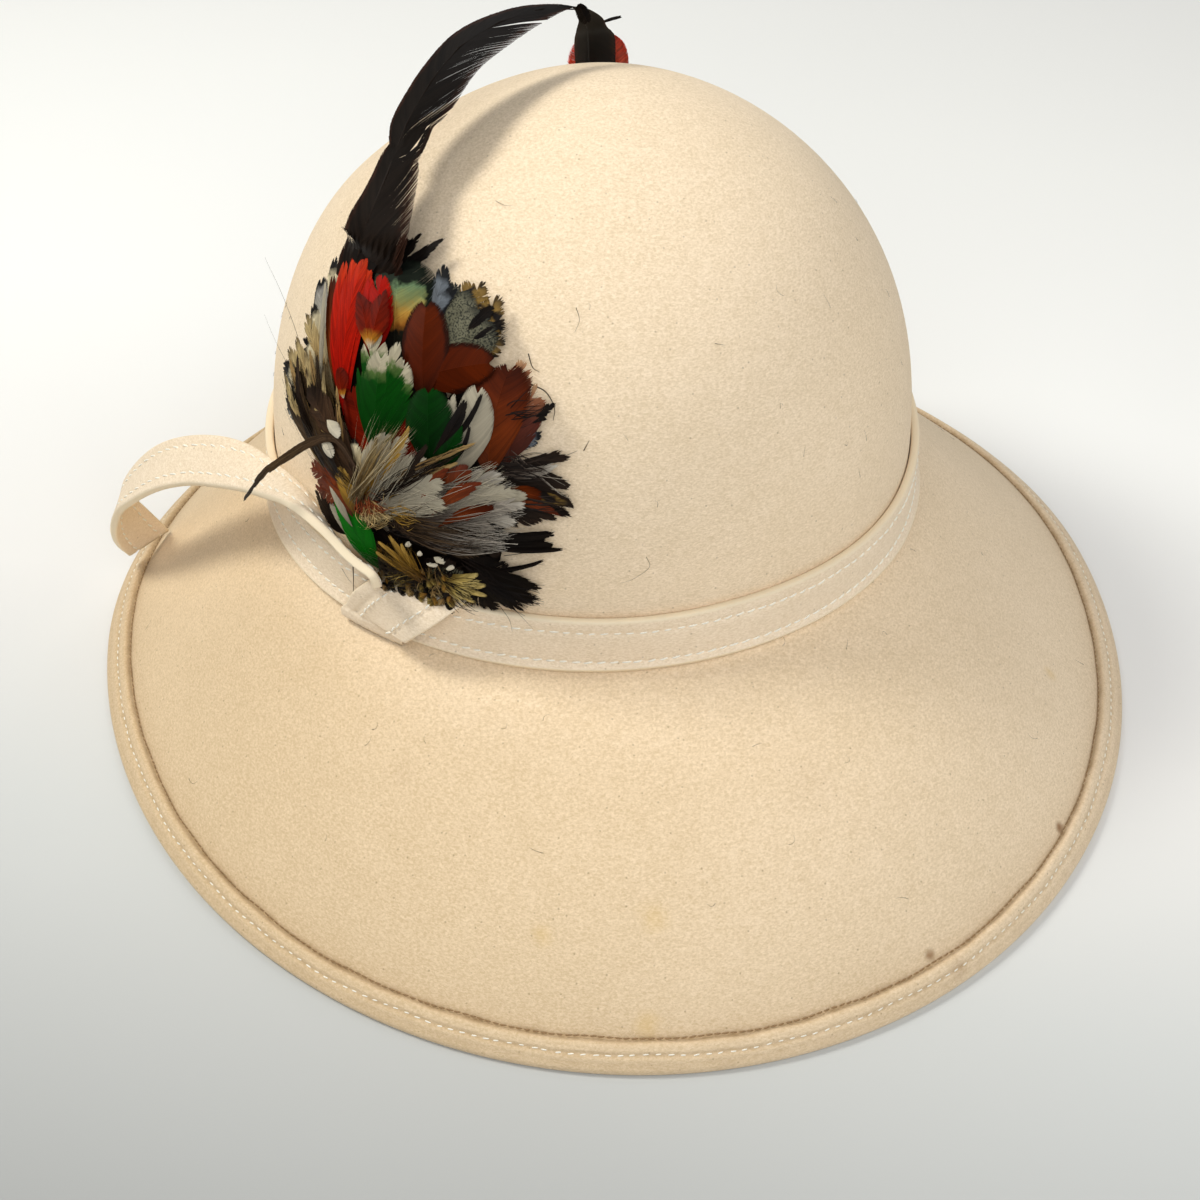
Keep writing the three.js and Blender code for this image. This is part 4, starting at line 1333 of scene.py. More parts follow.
# %% The feathers in the order they were laid
# The dusky feathers are near black: painted shade in the mount's gaps.
FEATHERS = [
    # finish, shape, then for each: base x, m, tip x, m, half width, base and tip lift, bend
    ("dusky", "torn", [
        (10, 60, 29, 64, 6, 2, 2.5, 0), (12, 50, 30, 53, 6, 2, 2.5, 0), (10, 40, 28, 43, 6, 2, 2.5, 0),
        (4, 40, 28, 36, 6, 4, 3.5, 0), (8, 70, 26, 75, 6, 2, 2.5, 0), (0, 78, 15, 88, 5, 2, 2.5, 0),
        (-8, 80, 2, 96, 6, 2, 2.5, 0), (-18, 70, -26, 88, 7, 2, 2.5, 0), (-14, 56, -37, 66, 7, 2, 3, 0),
        (-10, 44, -33, 50, 7, 2, 3, 0), (-2, 36, -24, 32, 6, 2.5, 2.5, 0), (4, 34, 14, 17, 7, 2.5, 2, 0),
        (8, 32, -9, 22, 6, 2.5, 2.5, 0), (10, 32, 5, 17, 6, 2.6, 2.4, 0), (14, 32, 25, 18, 6, 2.5, 2, 0),
        (0, 30, -14, 27, 5, 3, 3, 0),
    ]),
    ("olive", "torn", [
        (2, 84, 8, 98, 5.5, 3.5, 4, 1), (5, 80, 16, 91, 5, 3.5, 3.8, 0), (4, 78, 13, 96, 5, 3.2, 3.4, 2),
        (6, 78, 18, 86, 4, 3.2, 3.4, 0),
    ]),
    ("black", "narrow", [(8, 84, 13, 93, 1.8, 4.6, 4.6, 0), (9, 82, 16, 90, 1.4, 4.6, 4.4, 0)]),
    ("speckled", "fan", [(3, 72, 12, 91, 7.5, 4.2, 4.8, 0), (0, 74, 4, 96, 6.5, 4, 4.8, 0)]),
    ("blue", "narrow", [(-4, 80, -2, 99, 3.4, 4.6, 5.6, 2), (-4, 78, 3, 95, 2.6, 4.8, 5.6, -1)]),
    ("irid", "fan", [(-5, 70, -14, 96.5, 10.5, 4.6, 6.2, 0)]),
    ("chestnut_pale", "torn", [(26, 57, 29, 77, 4.5, 4, 4.4, 0), (24, 64, 24, 82, 4, 4, 4.6, 0)]),
    ("russet", "round", [(23, 54, 22, 81, 7.2, 4.5, 5.2, -1)]),
    ("blue", "torn", [(25, 62, 33, 66, 2.4, 3.5, 3.5, 0)]),
    ("chestnut", "oval", [(0, 72, 18.5, 80.5, 5.8, 5, 5.8, -1), (4, 68, -2.5, 90, 6.2, 5.4, 6.4, 0)]),
    ("black", "strip", [(26, 66, 34, 73, 1.2, 4, 4, 0), (27, 66, 33, 70.5, 1, 4, 4, 0)]),
    ("dusky", "strip", [(22, 57, 38, 62, 1.1, 4, 3.4, 1), (24, 56, 40.5, 60.8, 0.9, 4, 3.4, -1)]),
    ("black", "wisp", [(22, 55, 36, 58.5, 2, 4.2, 3.4, 0)]),
    ("dusky", "strip", [(24, 54, 39, 55.5, 1.2, 4.2, 3.4, 1)]),
    ("dusky", "wisp", [(24, 53, 42, 54, 2, 4.2, 3.4, -2)]),
    ("smoke", "wisp", [(24, 56, 38, 59, 1.2, 4.6, 3.8, 1)]),
    ("dusky", "wisp", [(24, 51, 43.5, 49.5, 1.8, 4.4, 3.4, -2)]),
    ("black", "strip", [(25, 50, 43, 47, 1, 4.4, 3.4, -1)]),
    ("dusky", "wisp", [(24, 48, 40, 46, 1.8, 4.4, 3.4, -1)]),
    ("russet", "narrow", [(26, 52, 38, 50.5, 1.6, 5, 4.2, -1)]),
    ("olive", "wisp", [(25, 51.5, 42, 50, 1.2, 4.8, 3.8, -1)]),
    ("rust", "wisp", [(26, 50, 40, 47.5, 1, 4.8, 3.8, -1)]),
    ("black", "strip", [(20, 38, 38, 40.5, 1.4, 4.2, 3, 0), (22, 39.5, 40, 42, 0.9, 4.4, 3.2, 0)]),
    ("black", "wisp", [(20, 37, 40, 39, 1.5, 4, 3, 0)]),
    ("black", "narrow", [(25, 36.5, 42.5, 38, 0.7, 4, 3, 0)]),
    ("dusky", "torn", [(20, 46, 37, 46, 3, 4.4, 3.4, 0)]),
    ("black", "torn", [(18, 34, 31, 31, 2.6, 4.2, 3, 1)]),
    ("black", "narrow", [(22, 30, 38, 34.5, 0.5, 3.6, 2.6, 1)]),
    ("cream", "narrow", [(-26, 68, -38, 87, 3.2, 4, 5, 0)]),
    ("grey", "round", [(-26, 64, -40, 81, 4.2, 4.4, 5.2, 0)]),
    ("cream", "narrow", [(-25, 64, -39, 75, 2.8, 4.8, 5.6, 0), (-24, 62, -37, 70, 2.2, 5, 5.8, 1)]),
    ("beige", "torn", [(-22, 58, -40, 72, 3.2, 5, 6, 1)]),
    ("cream", "torn", [(-22, 60, -38, 67, 3.4, 5, 6, 1), (-20, 54, -46, 57, 3.6, 5.2, 6, 2)]),
    ("beige", "torn", [(-18, 52, -44, 62, 3, 5.6, 6.4, 1)]),
    ("cream", "narrow", [(-18, 53, -43, 53, 2.4, 5.2, 5.6, 1)]),
    ("beige", "narrow", [(-19, 55, -41, 66, 2, 5.8, 6.6, 0)]),
    ("grey", "torn", [(-24, 50, -43, 48, 2.6, 5, 5, 0)]),
    ("dark_hackle", "torn", [(-20, 48, -42, 53, 3.4, 5.6, 6, -1)]),
    ("dark_hackle", "narrow", [(-16, 50, -38, 60, 2.2, 6.4, 7, 1)]),
    ("beige", "narrow", [(-15, 52, -34, 66, 1.8, 6.8, 7.4, -1)]),
    ("russet", "narrow", [(-19, 60, -34, 84, 2.4, 5.6, 6.2, 0)]),
    ("red", "narrow", [
        (-18, 59, -31, 88.5, 3.2, 6, 6.6, 0), (-17, 58, -27.5, 92, 3.4, 6.4, 7, 0),
        (-17, 60, -24, 93, 3.2, 6.6, 7.2, -1), (-16, 60, -21.5, 92, 2.6, 6.2, 6.8, -1),
    ]),
    ("white", "narrow", [(-24, 58, -34, 82, 0.6, 7.4, 7.6, 1)]),
    ("dark_red", "narrow", [
        (-11, 72, -16.5, 91, 4.8, 6.4, 7.2, 0), (-12, 72, -20, 89, 2.6, 6.4, 7, 0),
    ]),
    ("maroon", "point", [
        (-12, 75.5, -12.6, 88.5, 3.4, 8.2, 8.6, 0), (-12.6, 75.5, -20.5, 85, 3, 8.2, 8.6, 1),
        (-12.4, 75, -16, 84.5, 2.6, 8, 8.4, 0),
    ]),
    ("maroon", "oval", [(-3, 50, -16, 65, 5.6, 6.4, 7, 0), (6, 50, -2, 66, 5.6, 6.2, 6.8, 0)]),
    ("maroon", "round", [(-17, 62, -20, 68, 2, 7.4, 7.6, 0)]),
    ("white", "round", [(14, 51, 16.5, 75, 4.6, 6, 6.8, 2)]),
    ("white", "point", [(10, 54, 11.5, 72, 3, 6, 6.6, 0)]),
    ("black", "narrow", [(12.5, 60, 18, 73.5, 0.5, 7, 7.4, 1), (14, 56, 17, 66, 0.4, 7, 7.4, 1)]),
    ("green", "crown", [(-6, 53, -12, 79.5, 5, 7, 7.8, 0), (-4, 53, -2, 76, 4.6, 7, 7.8, 0)]),
    ("green", "point", [(-5, 53, -5, 79.5, 5.4, 7.3, 8, 0)]),
    ("green", "round", [(-5, 53, -8.5, 76, 5.6, 7.5, 8.1, 0)]),
    ("deep_green", "oval", [(10, 54, 5.5, 72, 6.2, 7, 8, 0)]),
    ("black", "narrow", [(10, 58, 15, 71.5, 1.5, 7.9, 8.3, 1)]),
    ("deep_green", "point", [(11, 54, 15.5, 66, 3.2, 7.6, 8.2, 0)]),
    ("rust", "oval", [(12, 48, 19, 57, 2.6, 6.8, 7.6, 0)]),
    ("rust", "point", [(16, 43, 22, 50, 2.4, 7.4, 8, 0)]),
    ("rust", "torn", [(-9, 39, -27, 41, 4.4, 6.2, 6.8, 1), (-10, 40, -25, 36, 3.6, 6, 6.4, 0)]),
    ("gold", "fan", [(-9, 37, -13.5, 49, 3, 8.8, 9.6, 0)]),
    ("rust", "torn", [(-9.5, 36, -18.5, 46, 2.6, 8.6, 9.2, 0)]),
    ("white", "narrow", [(-9.5, 33.5, -16.5, 41.5, 1.2, 8.8, 9.2, 0)]),
    ("rust", "narrow", [(-11, 39, -21, 41, 2, 7.4, 7.8, 0)]),
    ("dusky", "point", [(-12, 28, -28, 33, 4.2, 4.6, 4.6, -1)]),
    ("white", "narrow", [(-9, 26, -20, 34, 2, 5.4, 6, 0)]),
    ("bright_green", "oval", [(-2.5, 24, -13, 37, 4.6, 7.6, 8.4, 0)]),
    ("bright_green", "point", [(-3.5, 27, -15.5, 37.5, 3, 7.8, 8.6, 0)]),
    ("dark_hackle", "soft", [(8, 24, -12, 28, 3, 4.8, 5.6, 0)]),
    ("dusky", "soft", [(8, 21, -6, 23, 3, 4.4, 4.8, 0)]),
    ("black", "wisp", [
        (18, 32, 36, 22, 2.6, 4.4, 3, -1), (18, 31, 33, 19.5, 2.4, 4.2, 3, 0),
        (20, 32, 37, 26.5, 2, 4.2, 3, 0),
    ]),
    ("black", "torn", [(14, 30, 27, 18.5, 4, 4, 3, 0)]),
    ("dusky", "torn", [(6, 25, 19, 29, 4.6, 4.8, 5, 0)]),
    ("dark_hackle", "torn", [(6, 29, 3, 17.5, 4.4, 4.4, 4, 0), (12, 27, 12, 17.5, 4, 4.4, 3.6, 0)]),
    ("brown", "torn", [(6, 26, -4, 20, 2.4, 5, 4.6, 0)]),
    ("speckled", "torn", [(9, 25, 20, 28, 2.8, 5.4, 5.2, 0), (9, 25, 17, 24, 2.2, 5.6, 5, 0)]),
    ("ochre", "narrow", [
        (14, 28, 23, 30, 1, 6.6, 5.8, 1), (14, 27, 25, 27, 1, 6.4, 5.4, 1),
        (14, 26, 25, 23.5, 0.9, 6.2, 5, 0), (13, 25, 22, 20.5, 0.9, 6, 4.6, 0),
        (13, 24, 18, 18.5, 0.8, 5.8, 4.4, 0),
    ]),
    ("ochre", "torn", [(14, 27, 21, 26, 2, 6, 5.2, 0)]),
    ("gold", "narrow", [
        (8, 25, -2.5, 32, 0.6, 7.4, 8, 1), (9, 26, 0.5, 35, 0.7, 7.4, 8, 0),
        (10, 27, 4, 34, 0.6, 7.4, 8, -1), (9, 25, -4, 29, 0.5, 7.4, 7.8, 0),
    ]),
    ("smoke", "soft", [
        (2, 40, 27, 56, 3.4, 7, 6.4, -2), (2, 40, 31, 50, 4.4, 7, 6, -2), (2, 39, 31, 45, 3.6, 7, 5.6, -2),
    ]),
    ("dark_hackle", "soft", [
        (2, 39, 27, 41, 4.4, 6.8, 5.2, -1), (2, 38, 24, 36, 4, 6.6, 5, 0), (2, 41, 18, 50, 4, 6.8, 6.4, -1),
    ]),
    ("white", "soft", [
        (-4, 41, -1, 60, 3.2, 8.6, 9.6, -2), (-4, 41, 4, 60.5, 2.8, 8.8, 9.8, -2),
        (-4, 41, 10, 57, 3.2, 8.8, 10, -2), (-3, 41, 15, 53, 3.4, 9.2, 10.4, -2),
        (-3, 40, 16, 48, 3.2, 9, 10.2, -2), (14, 44, 31, 53, 2.4, 8.4, 7.6, -2),
    ]),
    ("smoke", "soft", [(12, 43, 33, 50, 2.4, 8.4, 7.2, -2)]),
    ("rust", "narrow", [(8, 43, 15, 57, 1.3, 9.6, 9.8, -1)]),
    ("rust", "wisp", [(12, 44, 22, 54, 1.6, 9.4, 9, -1)]),
    ("russet", "wisp", [(14, 42, 26, 49, 1.4, 9.2, 8.4, -1)]),
    ("dusky", "wisp", [(4, 42, 9, 60, 0.9, 9.4, 10, -1)]),
    ("white", "narrow", [(22, 48, 33, 52, 2, 7.4, 6.2, -1)]),
    ("spot", "oval", [(8.2, 32, 9.2, 33, 0.5, 7.6, 7.6, 0)]),
    ("spot", "torn", [
        (12.4, 32.6, 15, 31.8, 0.8, 7.4, 7.2, 0), (10.4, 30.2, 13, 30.3, 0.5, 7.2, 7, 0),
    ]),
    ("spot", "oval", [
        (15.4, 30, 17.2, 31, 0.45, 7, 6.8, 0), (5, 33.4, 6.2, 34.6, 0.5, 7.6, 7.6, 0),
    ]),
    ("cream", "narrow", [(-8, 47, -11, 55, 1.6, 8, 8.6, 0)]),
    ("white", "round", [(-7, 49, -6.6, 54, 1.4, 8.4, 8.8, 0)]),
    ("guinea", "torn", [(-8, 46, -27, 61, 4.6, 9.4, 9.8, 1), (-8, 44, -24, 53, 4.2, 9.2, 9.4, 1)]),
    ("spot", "oval", [
        (-17.4, 57, -13, 55, 1.7, 11.2, 11.2, 0), (-18.4, 51.6, -14.4, 49.8, 1.6, 11, 11, 0),
    ]),
]
print(sum(len(feathers) for _, _, feathers in FEATHERS), "feathers in the table")

# %% Laying the table
FIRST_SEED = 100
SCALES = dict(x=(-3, 17), m=(20, 30), length=3.8, half=0.9, lift=6.4, rise=0.02, tip_lift=6.0)


def lay_table(groups):
    """Builds every feather of the table, and returns them by finish."""
    laid, seed = {}, FIRST_SEED
    for finish, shape, feathers in groups:
        for x0, m0, x1, m1, half, low, high, bend in feathers:
            flat = feather(math.hypot(x1 - x0, m1 - m0), half, seed, *SHAPES[shape])
            laid.setdefault(finish, []).append(
                lay_on_crown(flat, (x0, m0), (x1, m1), (low, high), bend, 0.5)
            )
            seed += 1
    return laid


def scales(count=80):
    """Many very small black and ochre feathers, which give the mount's foot its mottled look."""
    chance = np.random.default_rng(81)
    groups = []
    for number in range(count):
        x, m = chance.uniform(*SCALES["x"]), chance.uniform(*SCALES["m"])
        finish = ("ochre", "black", "beige", "black", "gold")[number % 5]
        tip = (x - 1.5 + chance.normal(0, 1.4), m - SCALES["length"])
        lifts = (SCALES["lift"] + SCALES["rise"] * number, SCALES["tip_lift"])
        groups.append((finish, "torn", [(x, m, *tip, SCALES["half"], *lifts, 0)]))
    return groups


laid = lay_table(FEATHERS + scales())
print({finish: len(parts) for finish, parts in laid.items()})

# %% [markdown]
# ## Down, hackles and loose barbs
# Near its base a feather's barbs have no hooks, so they float apart as down. Hackles, from a
# cock's neck, are long and narrow. Both read as many fine curved strands. Each tuft is a fan of
# strands from one place to a row of tips, with some chance in every strand. Blender's hair
# would also draw them, but it isn't a mesh, and other programs that open the model lose it.

# %% Tufts of strands
# The dusky strands are near black: painted shade between the others.
TUFTS = [
    # finish, count, base x, m, spread, tips from x, m to x, m, base and tip lift, arch, width, curl
    ("white", 90, -4, 42, 2.5, (-3, 61), (12, 59), 8.4, 9.6, 1, 0.16, 2.5),
    ("white", 80, -2, 41, 3, (12, 58), (20, 46), 8.4, 9, 1, 0.16, 2.5),
    ("white", 90, 14, 46, 4, (24, 60), (34, 52), 7.6, 5.8, 1.2, 0.15, 2.5),
    ("smoke", 190, 1, 41, 3, (24, 60), (36, 47), 7.5, 5.4, 2.2, 0.14, 3),
    ("smoke", 140, 2, 40, 3, (34, 47), (30, 37), 7.5, 4.4, 2.2, 0.14, 3),
    ("dark_hackle", 180, 1, 40, 3, (16, 52), (30, 37), 7.6, 5.4, 2.2, 0.16, 3),
    ("dusky", 160, 2, 39, 3, (24, 46), (27, 35), 7.4, 4.6, 2, 0.16, 3),
    ("black", 60, 2, 39, 3, (33, 42), (29, 35), 6.5, 3.6, 1.6, 0.20, 2),
    ("black", 36, 22, 68, 2, (29, 78), (34, 69), 4, 4.2, 0.6, 0.25, 1.5),
    ("dusky", 60, 24, 57, 2.5, (36, 62), (38, 55), 4, 3.6, 0.6, 0.22, 1.5),
    ("dusky", 50, 28, 50, 2, (42, 53), (43, 46), 4, 3.2, 0.6, 0.22, 1.5),
    ("black", 30, 12, 84, 2, (17, 94), (20, 84), 4, 3.6, 0.4, 0.22, 1),
    ("rust", 90, -5, 42, 3, (-8, 37), (5, 44), 8.7, 9.6, 0.8, 0.18, 2),
    ("beige", 200, -4, 41, 4, (-6, 35), (7, 44), 8, 9.6, 0.8, 0.18, 3),
    ("gold", 80, 2, 42, 3, (2, 48), (12, 41), 8.4, 8.8, 0.8, 0.16, 2.5),
    ("smoke", 90, 8, 23, 3, (-13, 29), (-2, 22), 6.4, 6.4, 0.6, 0.12, 2),
    ("dusky", 160, 8, 24, 4, (-13, 30), (-3, 20), 6, 5.6, 0.6, 0.16, 1.5),
    ("dusky", 140, 10, 26, 4, (-4, 20), (20, 18), 5.4, 4.6, 0.6, 0.20, 1.5),
    ("beige", 90, 12, 26, 4, (0, 20), (22, 19), 6, 5, 0.6, 0.14, 1.5),
    ("black", 90, 14, 27, 4, (2, 19), (26, 19), 5.8, 4.6, 0.6, 0.18, 1.5),
    ("black", 50, 30, 25, 1.5, (37, 24), (39, 18), 3.2, 2, 0.3, 0.14, 1),
    ("black", 70, 22, 29, 2.5, (38, 28), (34, 17), 4.6, 3, 0.4, 0.18, 1),
    ("gold", 80, 9, 26, 1.5, (-5, 30), (5, 36), 7.6, 8.2, 0.4, 0.20, 1),
    ("ochre", 110, 14, 27, 1.5, (25, 30), (18, 18), 6.8, 5.6, 0.4, 0.22, 1),
    ("black", 60, 14, 27, 1.5, (27, 30), (19, 17), 6.6, 5.4, 0.4, 0.16, 1),
    ("smoke", 60, 6, 26, 3, (-14, 31), (-8, 24), 7.6, 7.2, 0.6, 0.12, 2),
    ("ochre", 40, 6, 26, 3, (-6, 22), (6, 19), 7, 6.4, 0.6, 0.14, 1.5),
    ("beige", 120, -6, 44, 2, (-34, 66), (-24, 70), 8.2, 7.2, 1.2, 0.14, 2),
    ("brown", 140, -8, 43, 3, (-43, 56), (-32, 66), 8.2, 6.6, 1.2, 0.16, 2),
    ("dark_hackle", 180, -8, 43, 3, (-42, 54), (-28, 66), 8.4, 7, 1.2, 0.18, 2),
    ("dusky", 110, -8, 43, 3, (-40, 50), (-24, 66), 8.8, 7.6, 1.2, 0.18, 2),
    ("cream", 30, -9, 41, 1.5, (-20, 70), (12, 66), 9.8, 9.8, 1, 0.13, 1.5),
    ("beige", 60, -8, 41, 1.5, (-3, 62), (6, 66), 9.6, 9.8, 1, 0.16, 1.5),
    ("brown", 40, -2, 44, 1.5, (15, 60), (22, 64), 9.6, 9.6, 1, 0.14, 1.5),
    ("smoke", 14, 26, 60, 3, (38, 62), (46, 44), 4, 3, 0.4, 0.12, 1),
]
LOCK_OF = 11  # strands that gather into a lock
STRAND_TILT = 0.04  # one side of a strand lies higher, which catches the light
STRAND_LOWEST = 0.6


def tuft(count, base, spread, first, last, lifts, arch, width, curl, seed, steps=9):
    """Fine tapering strands over the crown, from round base to tips between first and last.

    Grease and handling gather the strands, so each one bends towards the tip of its lock.
    """
    chance = np.random.default_rng(seed)
    share = chance.random(count)[:, None]
    tips = np.array(first) + (np.array(last) - np.array(first)) * share
    tips = tips + chance.normal(0, 1.0, (count, 2))
    start = np.array(base) + chance.normal(0, spread / 2, (count, 2))
    reach = 0.6 + 0.4 * chance.random(count)[:, None] ** 0.4
    tips = start + (tips - start) * reach
    lock = chance.integers(0, max(count // LOCK_OF, 1), count)
    tips = tips + (tips[lock] - tips) * chance.uniform(0.3, 0.95, (count, 1))
    way = tips - start
    side = np.stack([way[:, 1], -way[:, 0]], -1) / np.linalg.norm(way, axis=1, keepdims=True)
    middle = (start + tips) / 2 + side * chance.normal(0, curl, (count, 1))
    t = np.linspace(0, 1, steps)[None, :, None]
    line = pulled_curve(start[:, None], middle[:, None], tips[:, None], t)
    waver = chance.normal(0, 0.25, (count, 1, 1)) * np.sin(7 * t + 6 * chance.random((count, 1, 1)))
    line = line + side[:, None] * waver
    lift = lifts[0] + (lifts[1] - lifts[0]) * t[..., 0] + arch * 4 * (t * (1 - t))[..., 0]
    lift = lift + chance.normal(0, 0.8, (count, 1)) * (0.3 + t[..., 0])
    half = width / 2 * (1.15 - t**2)
    pairs = []
    for edge in (-1, 1):
        place = line + side[:, None] * half * edge
        over = np.maximum(lift + STRAND_TILT * edge, STRAND_LOWEST)
        pairs.append(on_crown(place[..., 0], place[..., 1], over))
    points = np.stack(pairs, axis=2)
    uv = np.broadcast_to(np.stack([0.5 + 0 * t[..., 0], t[..., 0]], -1), (count, steps, 2))
    uv = np.repeat(uv[:, :, None], 2, 2)
    value = np.repeat(chance.random(count), steps * 2)
    return points.reshape(-1, 3), ribbon_faces(count, steps), uv.reshape(-1, 2), value


for seed, (finish, count, x, m, spread, first, last, low, high, *rest) in enumerate(TUFTS):
    strands = tuft(count, (x, m), spread, first, last, (low, high), *rest, 500 + seed)
    laid.setdefault(finish, []).append(strands)
print(sum(row[1] for row in TUFTS), "strands in tufts")

# %% Narrow hackles over the left of the mount
HACKLE_BASE, HACKLE_LIFT = (-9, 41), 8.2
# The dusky hackles are near black: painted shade between the others.
HACKLE_TIPS = [
    # tip x, tip m, half width, lift, finish
    (-43, 57, 1.8, 6.8, "beige"), (-41, 61, 1.6, 7, "brown"), (-37, 64, 1.4, 7.4, "dark_hackle"),
    (-32, 67, 1.3, 7.6, "brown"), (-28, 67, 1.4, 8, "dusky"), (-24, 66, 1, 8.6, "beige"),
    (-39, 52, 1.8, 7.4, "dark_hackle"), (-35, 60, 1.6, 8, "dusky"), (-18, 64, 0.6, 9.2, "brown"),
    (-30, 63, 1.2, 8.8, "beige"), (-26, 60, 1.4, 9.2, "dark_hackle"), (4, 63, 1.2, 9.6, "gold"),
    (20, 63, 0.5, 9.6, "brown"), (17, 58, 0.5, 9.6, "brown"), (-4, 58, 0.9, 9.6, "beige"),
]
HACKLE_GAP, HACKLE_SHAFT = 0.3, 0.2


def make_feathers(name, parts, finish):
    """One piece of many feathers that share a finish."""
    points, faces, uv, barb = join(parts)
    return make_piece(name, points, faces, FINISHES[finish], uv=uv, values={"barb": barb})


for number, (x, m, half, lift, finish) in enumerate(HACKLE_TIPS):
    length = math.hypot(x - HACKLE_BASE[0], m - HACKLE_BASE[1])
    flat = feather(length, half, 900 + number, *SHAPES["hackle"], gap=HACKLE_GAP, thick=HACKLE_SHAFT)
    swing = 2.0 * math.sin(number * 2.4)
    laid[finish].append(lay_on_crown(flat, HACKLE_BASE, (x, m), (HACKLE_LIFT, lift), swing, 1.2))

for finish, parts in laid.items():
    make_feathers(f"mount_{finish}_feathers", parts, finish)

# %% [markdown]
# ## The plume
# The long black feather is a sickle from a cockerel's tail. Its outer vane is narrow with a
# clean edge, and its inner vane is broad and split. Handling has bent it sharply near the end,
# and the end hangs down behind the crown over a red tuft. A Curve modifier could bend a flat
# feather, but it can't change the width and the turn on the way. So it follows a route in
# space: each row of the table has the vane's middle, half its width, how far its flat side
# leans back and how far it is turned to the left.

# %% A feather along a route
def along_route(local, route, facing):
    """Bends a flat feather along a route of points, with its flat side turned by facing."""
    steps = distances(route)
    points, faces, uv, value = local
    at = points[:, 1] / points[:, 1].max() * steps[-1] * 0.999
    way = np.gradient(route, steps, axis=0)
    side = unit(np.cross(facing, way))
    up = unit(np.cross(way, side))
    moved = at_distance(at, steps, route) + at_distance(at, steps, side) * points[:, :1]
    return moved + at_distance(at, steps, up) * points[:, 2:], faces, uv, value


def facing_back(lean):
    """Directions that face straight up, leaned back by some radians."""
    return np.stack([0 * lean, np.sin(lean), np.cos(lean)], -1)


print("leaned back by 90 degrees:", facing_back(np.radians([90.0])).round(2))

# %% The plume's two vanes
PLUME = [
    # x, y, z, half width, lean and turn in degrees
    (-73.5, -22.5, 130, 10.6, -49, 40), (-69.7, -20, 136.5, 10.8, -49, 40),
    (-66.8, -19.4, 141.6, 11.1, -49, 40), (-64.8, -20, 146.3, 11.1, -49, 40),
    (-64, -20.6, 151, 10.6, -49, 40), (-62, -17.5, 155.5, 9.9, -49, 40),
    (-59.6, -13.5, 159, 8.4, -49, 40), (-57.2, -9, 162.3, 7.2, -49, 40),
    (-55.5, -5.5, 165.2, 6.1, -49, 40), (-53, -3, 167.5, 5.9, -49, 40), (-51, 1.5, 170.3, 7.9, -47, 40),
    (-47.2, 7.5, 173.2, 8.4, -45, 37), (-41, 17, 177, 7.9, -40, 31), (-33, 26, 180, 7.5, -35, 23),
    (-22.5, 34, 181.5, 5.5, -25, 11), (-13, 40, 181.5, 2.8, -15, 0), (-5, 45, 180, 1.5, 10, 0),
    (0.2, 52.5, 173.5, 3.2, 35, 0), (1.6, 58.5, 168, 4.4, 42, 0), (3.2, 65, 163, 5.6, 45, 0),
    (5, 76, 153, 5.8, 47, 0), (7, 88, 141, 5.6, 50, 0), (8, 96, 132, 4, 54, 0),
]
PLUME_SPLITS = [(0.31, 0.007), (0.56, 0.006)]
PLUME_SHAFT = 0.9
VANES = dict(
    # side, share of the width, barbs, fray, splits, sweep, cup
    outer=(1, 0.34, 600, 0.01, [(0.27, 0.004)], 0.05, 0.3),
    inner=(-1, 0.66, 760, 0.02, PLUME_SPLITS, 0.09, 0.8),
)
OFF_MIDDLE = 0.32  # the shaft runs this far to the outer side, in half widths


def plume():
    """Both vanes and the shaft, bent along the table's route."""
    rows = smooth_between(PLUME, 240)
    route, half = rows[:, :3], rows[:, 3]
    facing = facing_back(np.radians(rows[:, 4]))
    steps = distances(route)
    way, turn = np.gradient(route, steps, axis=0), np.radians(rows[:, 5:6])
    facing = facing * np.cos(turn) - np.cross(way, facing) * np.sin(turn)
    chance = np.random.default_rng(7)
    parts = [quill(steps[-1], PLUME_SHAFT)]
    for part, barb_steps in (("outer", 6), ("inner", 8)):
        side, share, count, fray, splits, sweep, cup = VANES[part]
        width = lambda place: share * 2 * np.interp(place * steps[-1], steps, half)
        parts.append(
            vane(side, steps[-1], width, count, chance, fray, splits, sweep, cup, 0.04, barb_steps, 0.4)
        )
    shaft = route + unit(np.cross(facing, np.gradient(route, axis=0))) * (half * OFF_MIDDLE)[:, None]
    bent = along_route(join(parts), shaft, facing)
    sickle = make_feathers("black_sickle_feather", [bent], "sickle")
    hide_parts("plume")
    return sickle


plume()

# %% [markdown]
# ## Round the plume
# Short black feathers spread from the mount beside the plume's foot. A long thin feather, most
# of its barbs stripped off, curves out over the tail. Behind the crown hangs a soft red tuft,
# spread at the bottom like a hand. They are built as the plume is, from short tables.

# %% Black feathers at the plume's foot
FOOT_FEATHERS = [
    # base x, m, tip x, m, half width, base and tip lift, bend
    (-18, 88, -5.5, 104.5, 1.7, 4, 5.6, 0), (-19, 88, -12, 103.5, 1.9, 4, 5.6, 0),
    (-17, 90, -9, 101, 1.3, 3.6, 5, 1), (-20, 88, -15, 101, 2.4, 3.8, 5.4, 0),
    (-24, 86, -19, 103, 2.6, 4.4, 6, 0), (-31, 82, -30, 99, 3, 4.4, 5.4, 0),
    (-27, 84, -25, 106, 3.4, 6, 9, 0), (-23, 84, -21, 105, 3, 6, 8, 0),
]


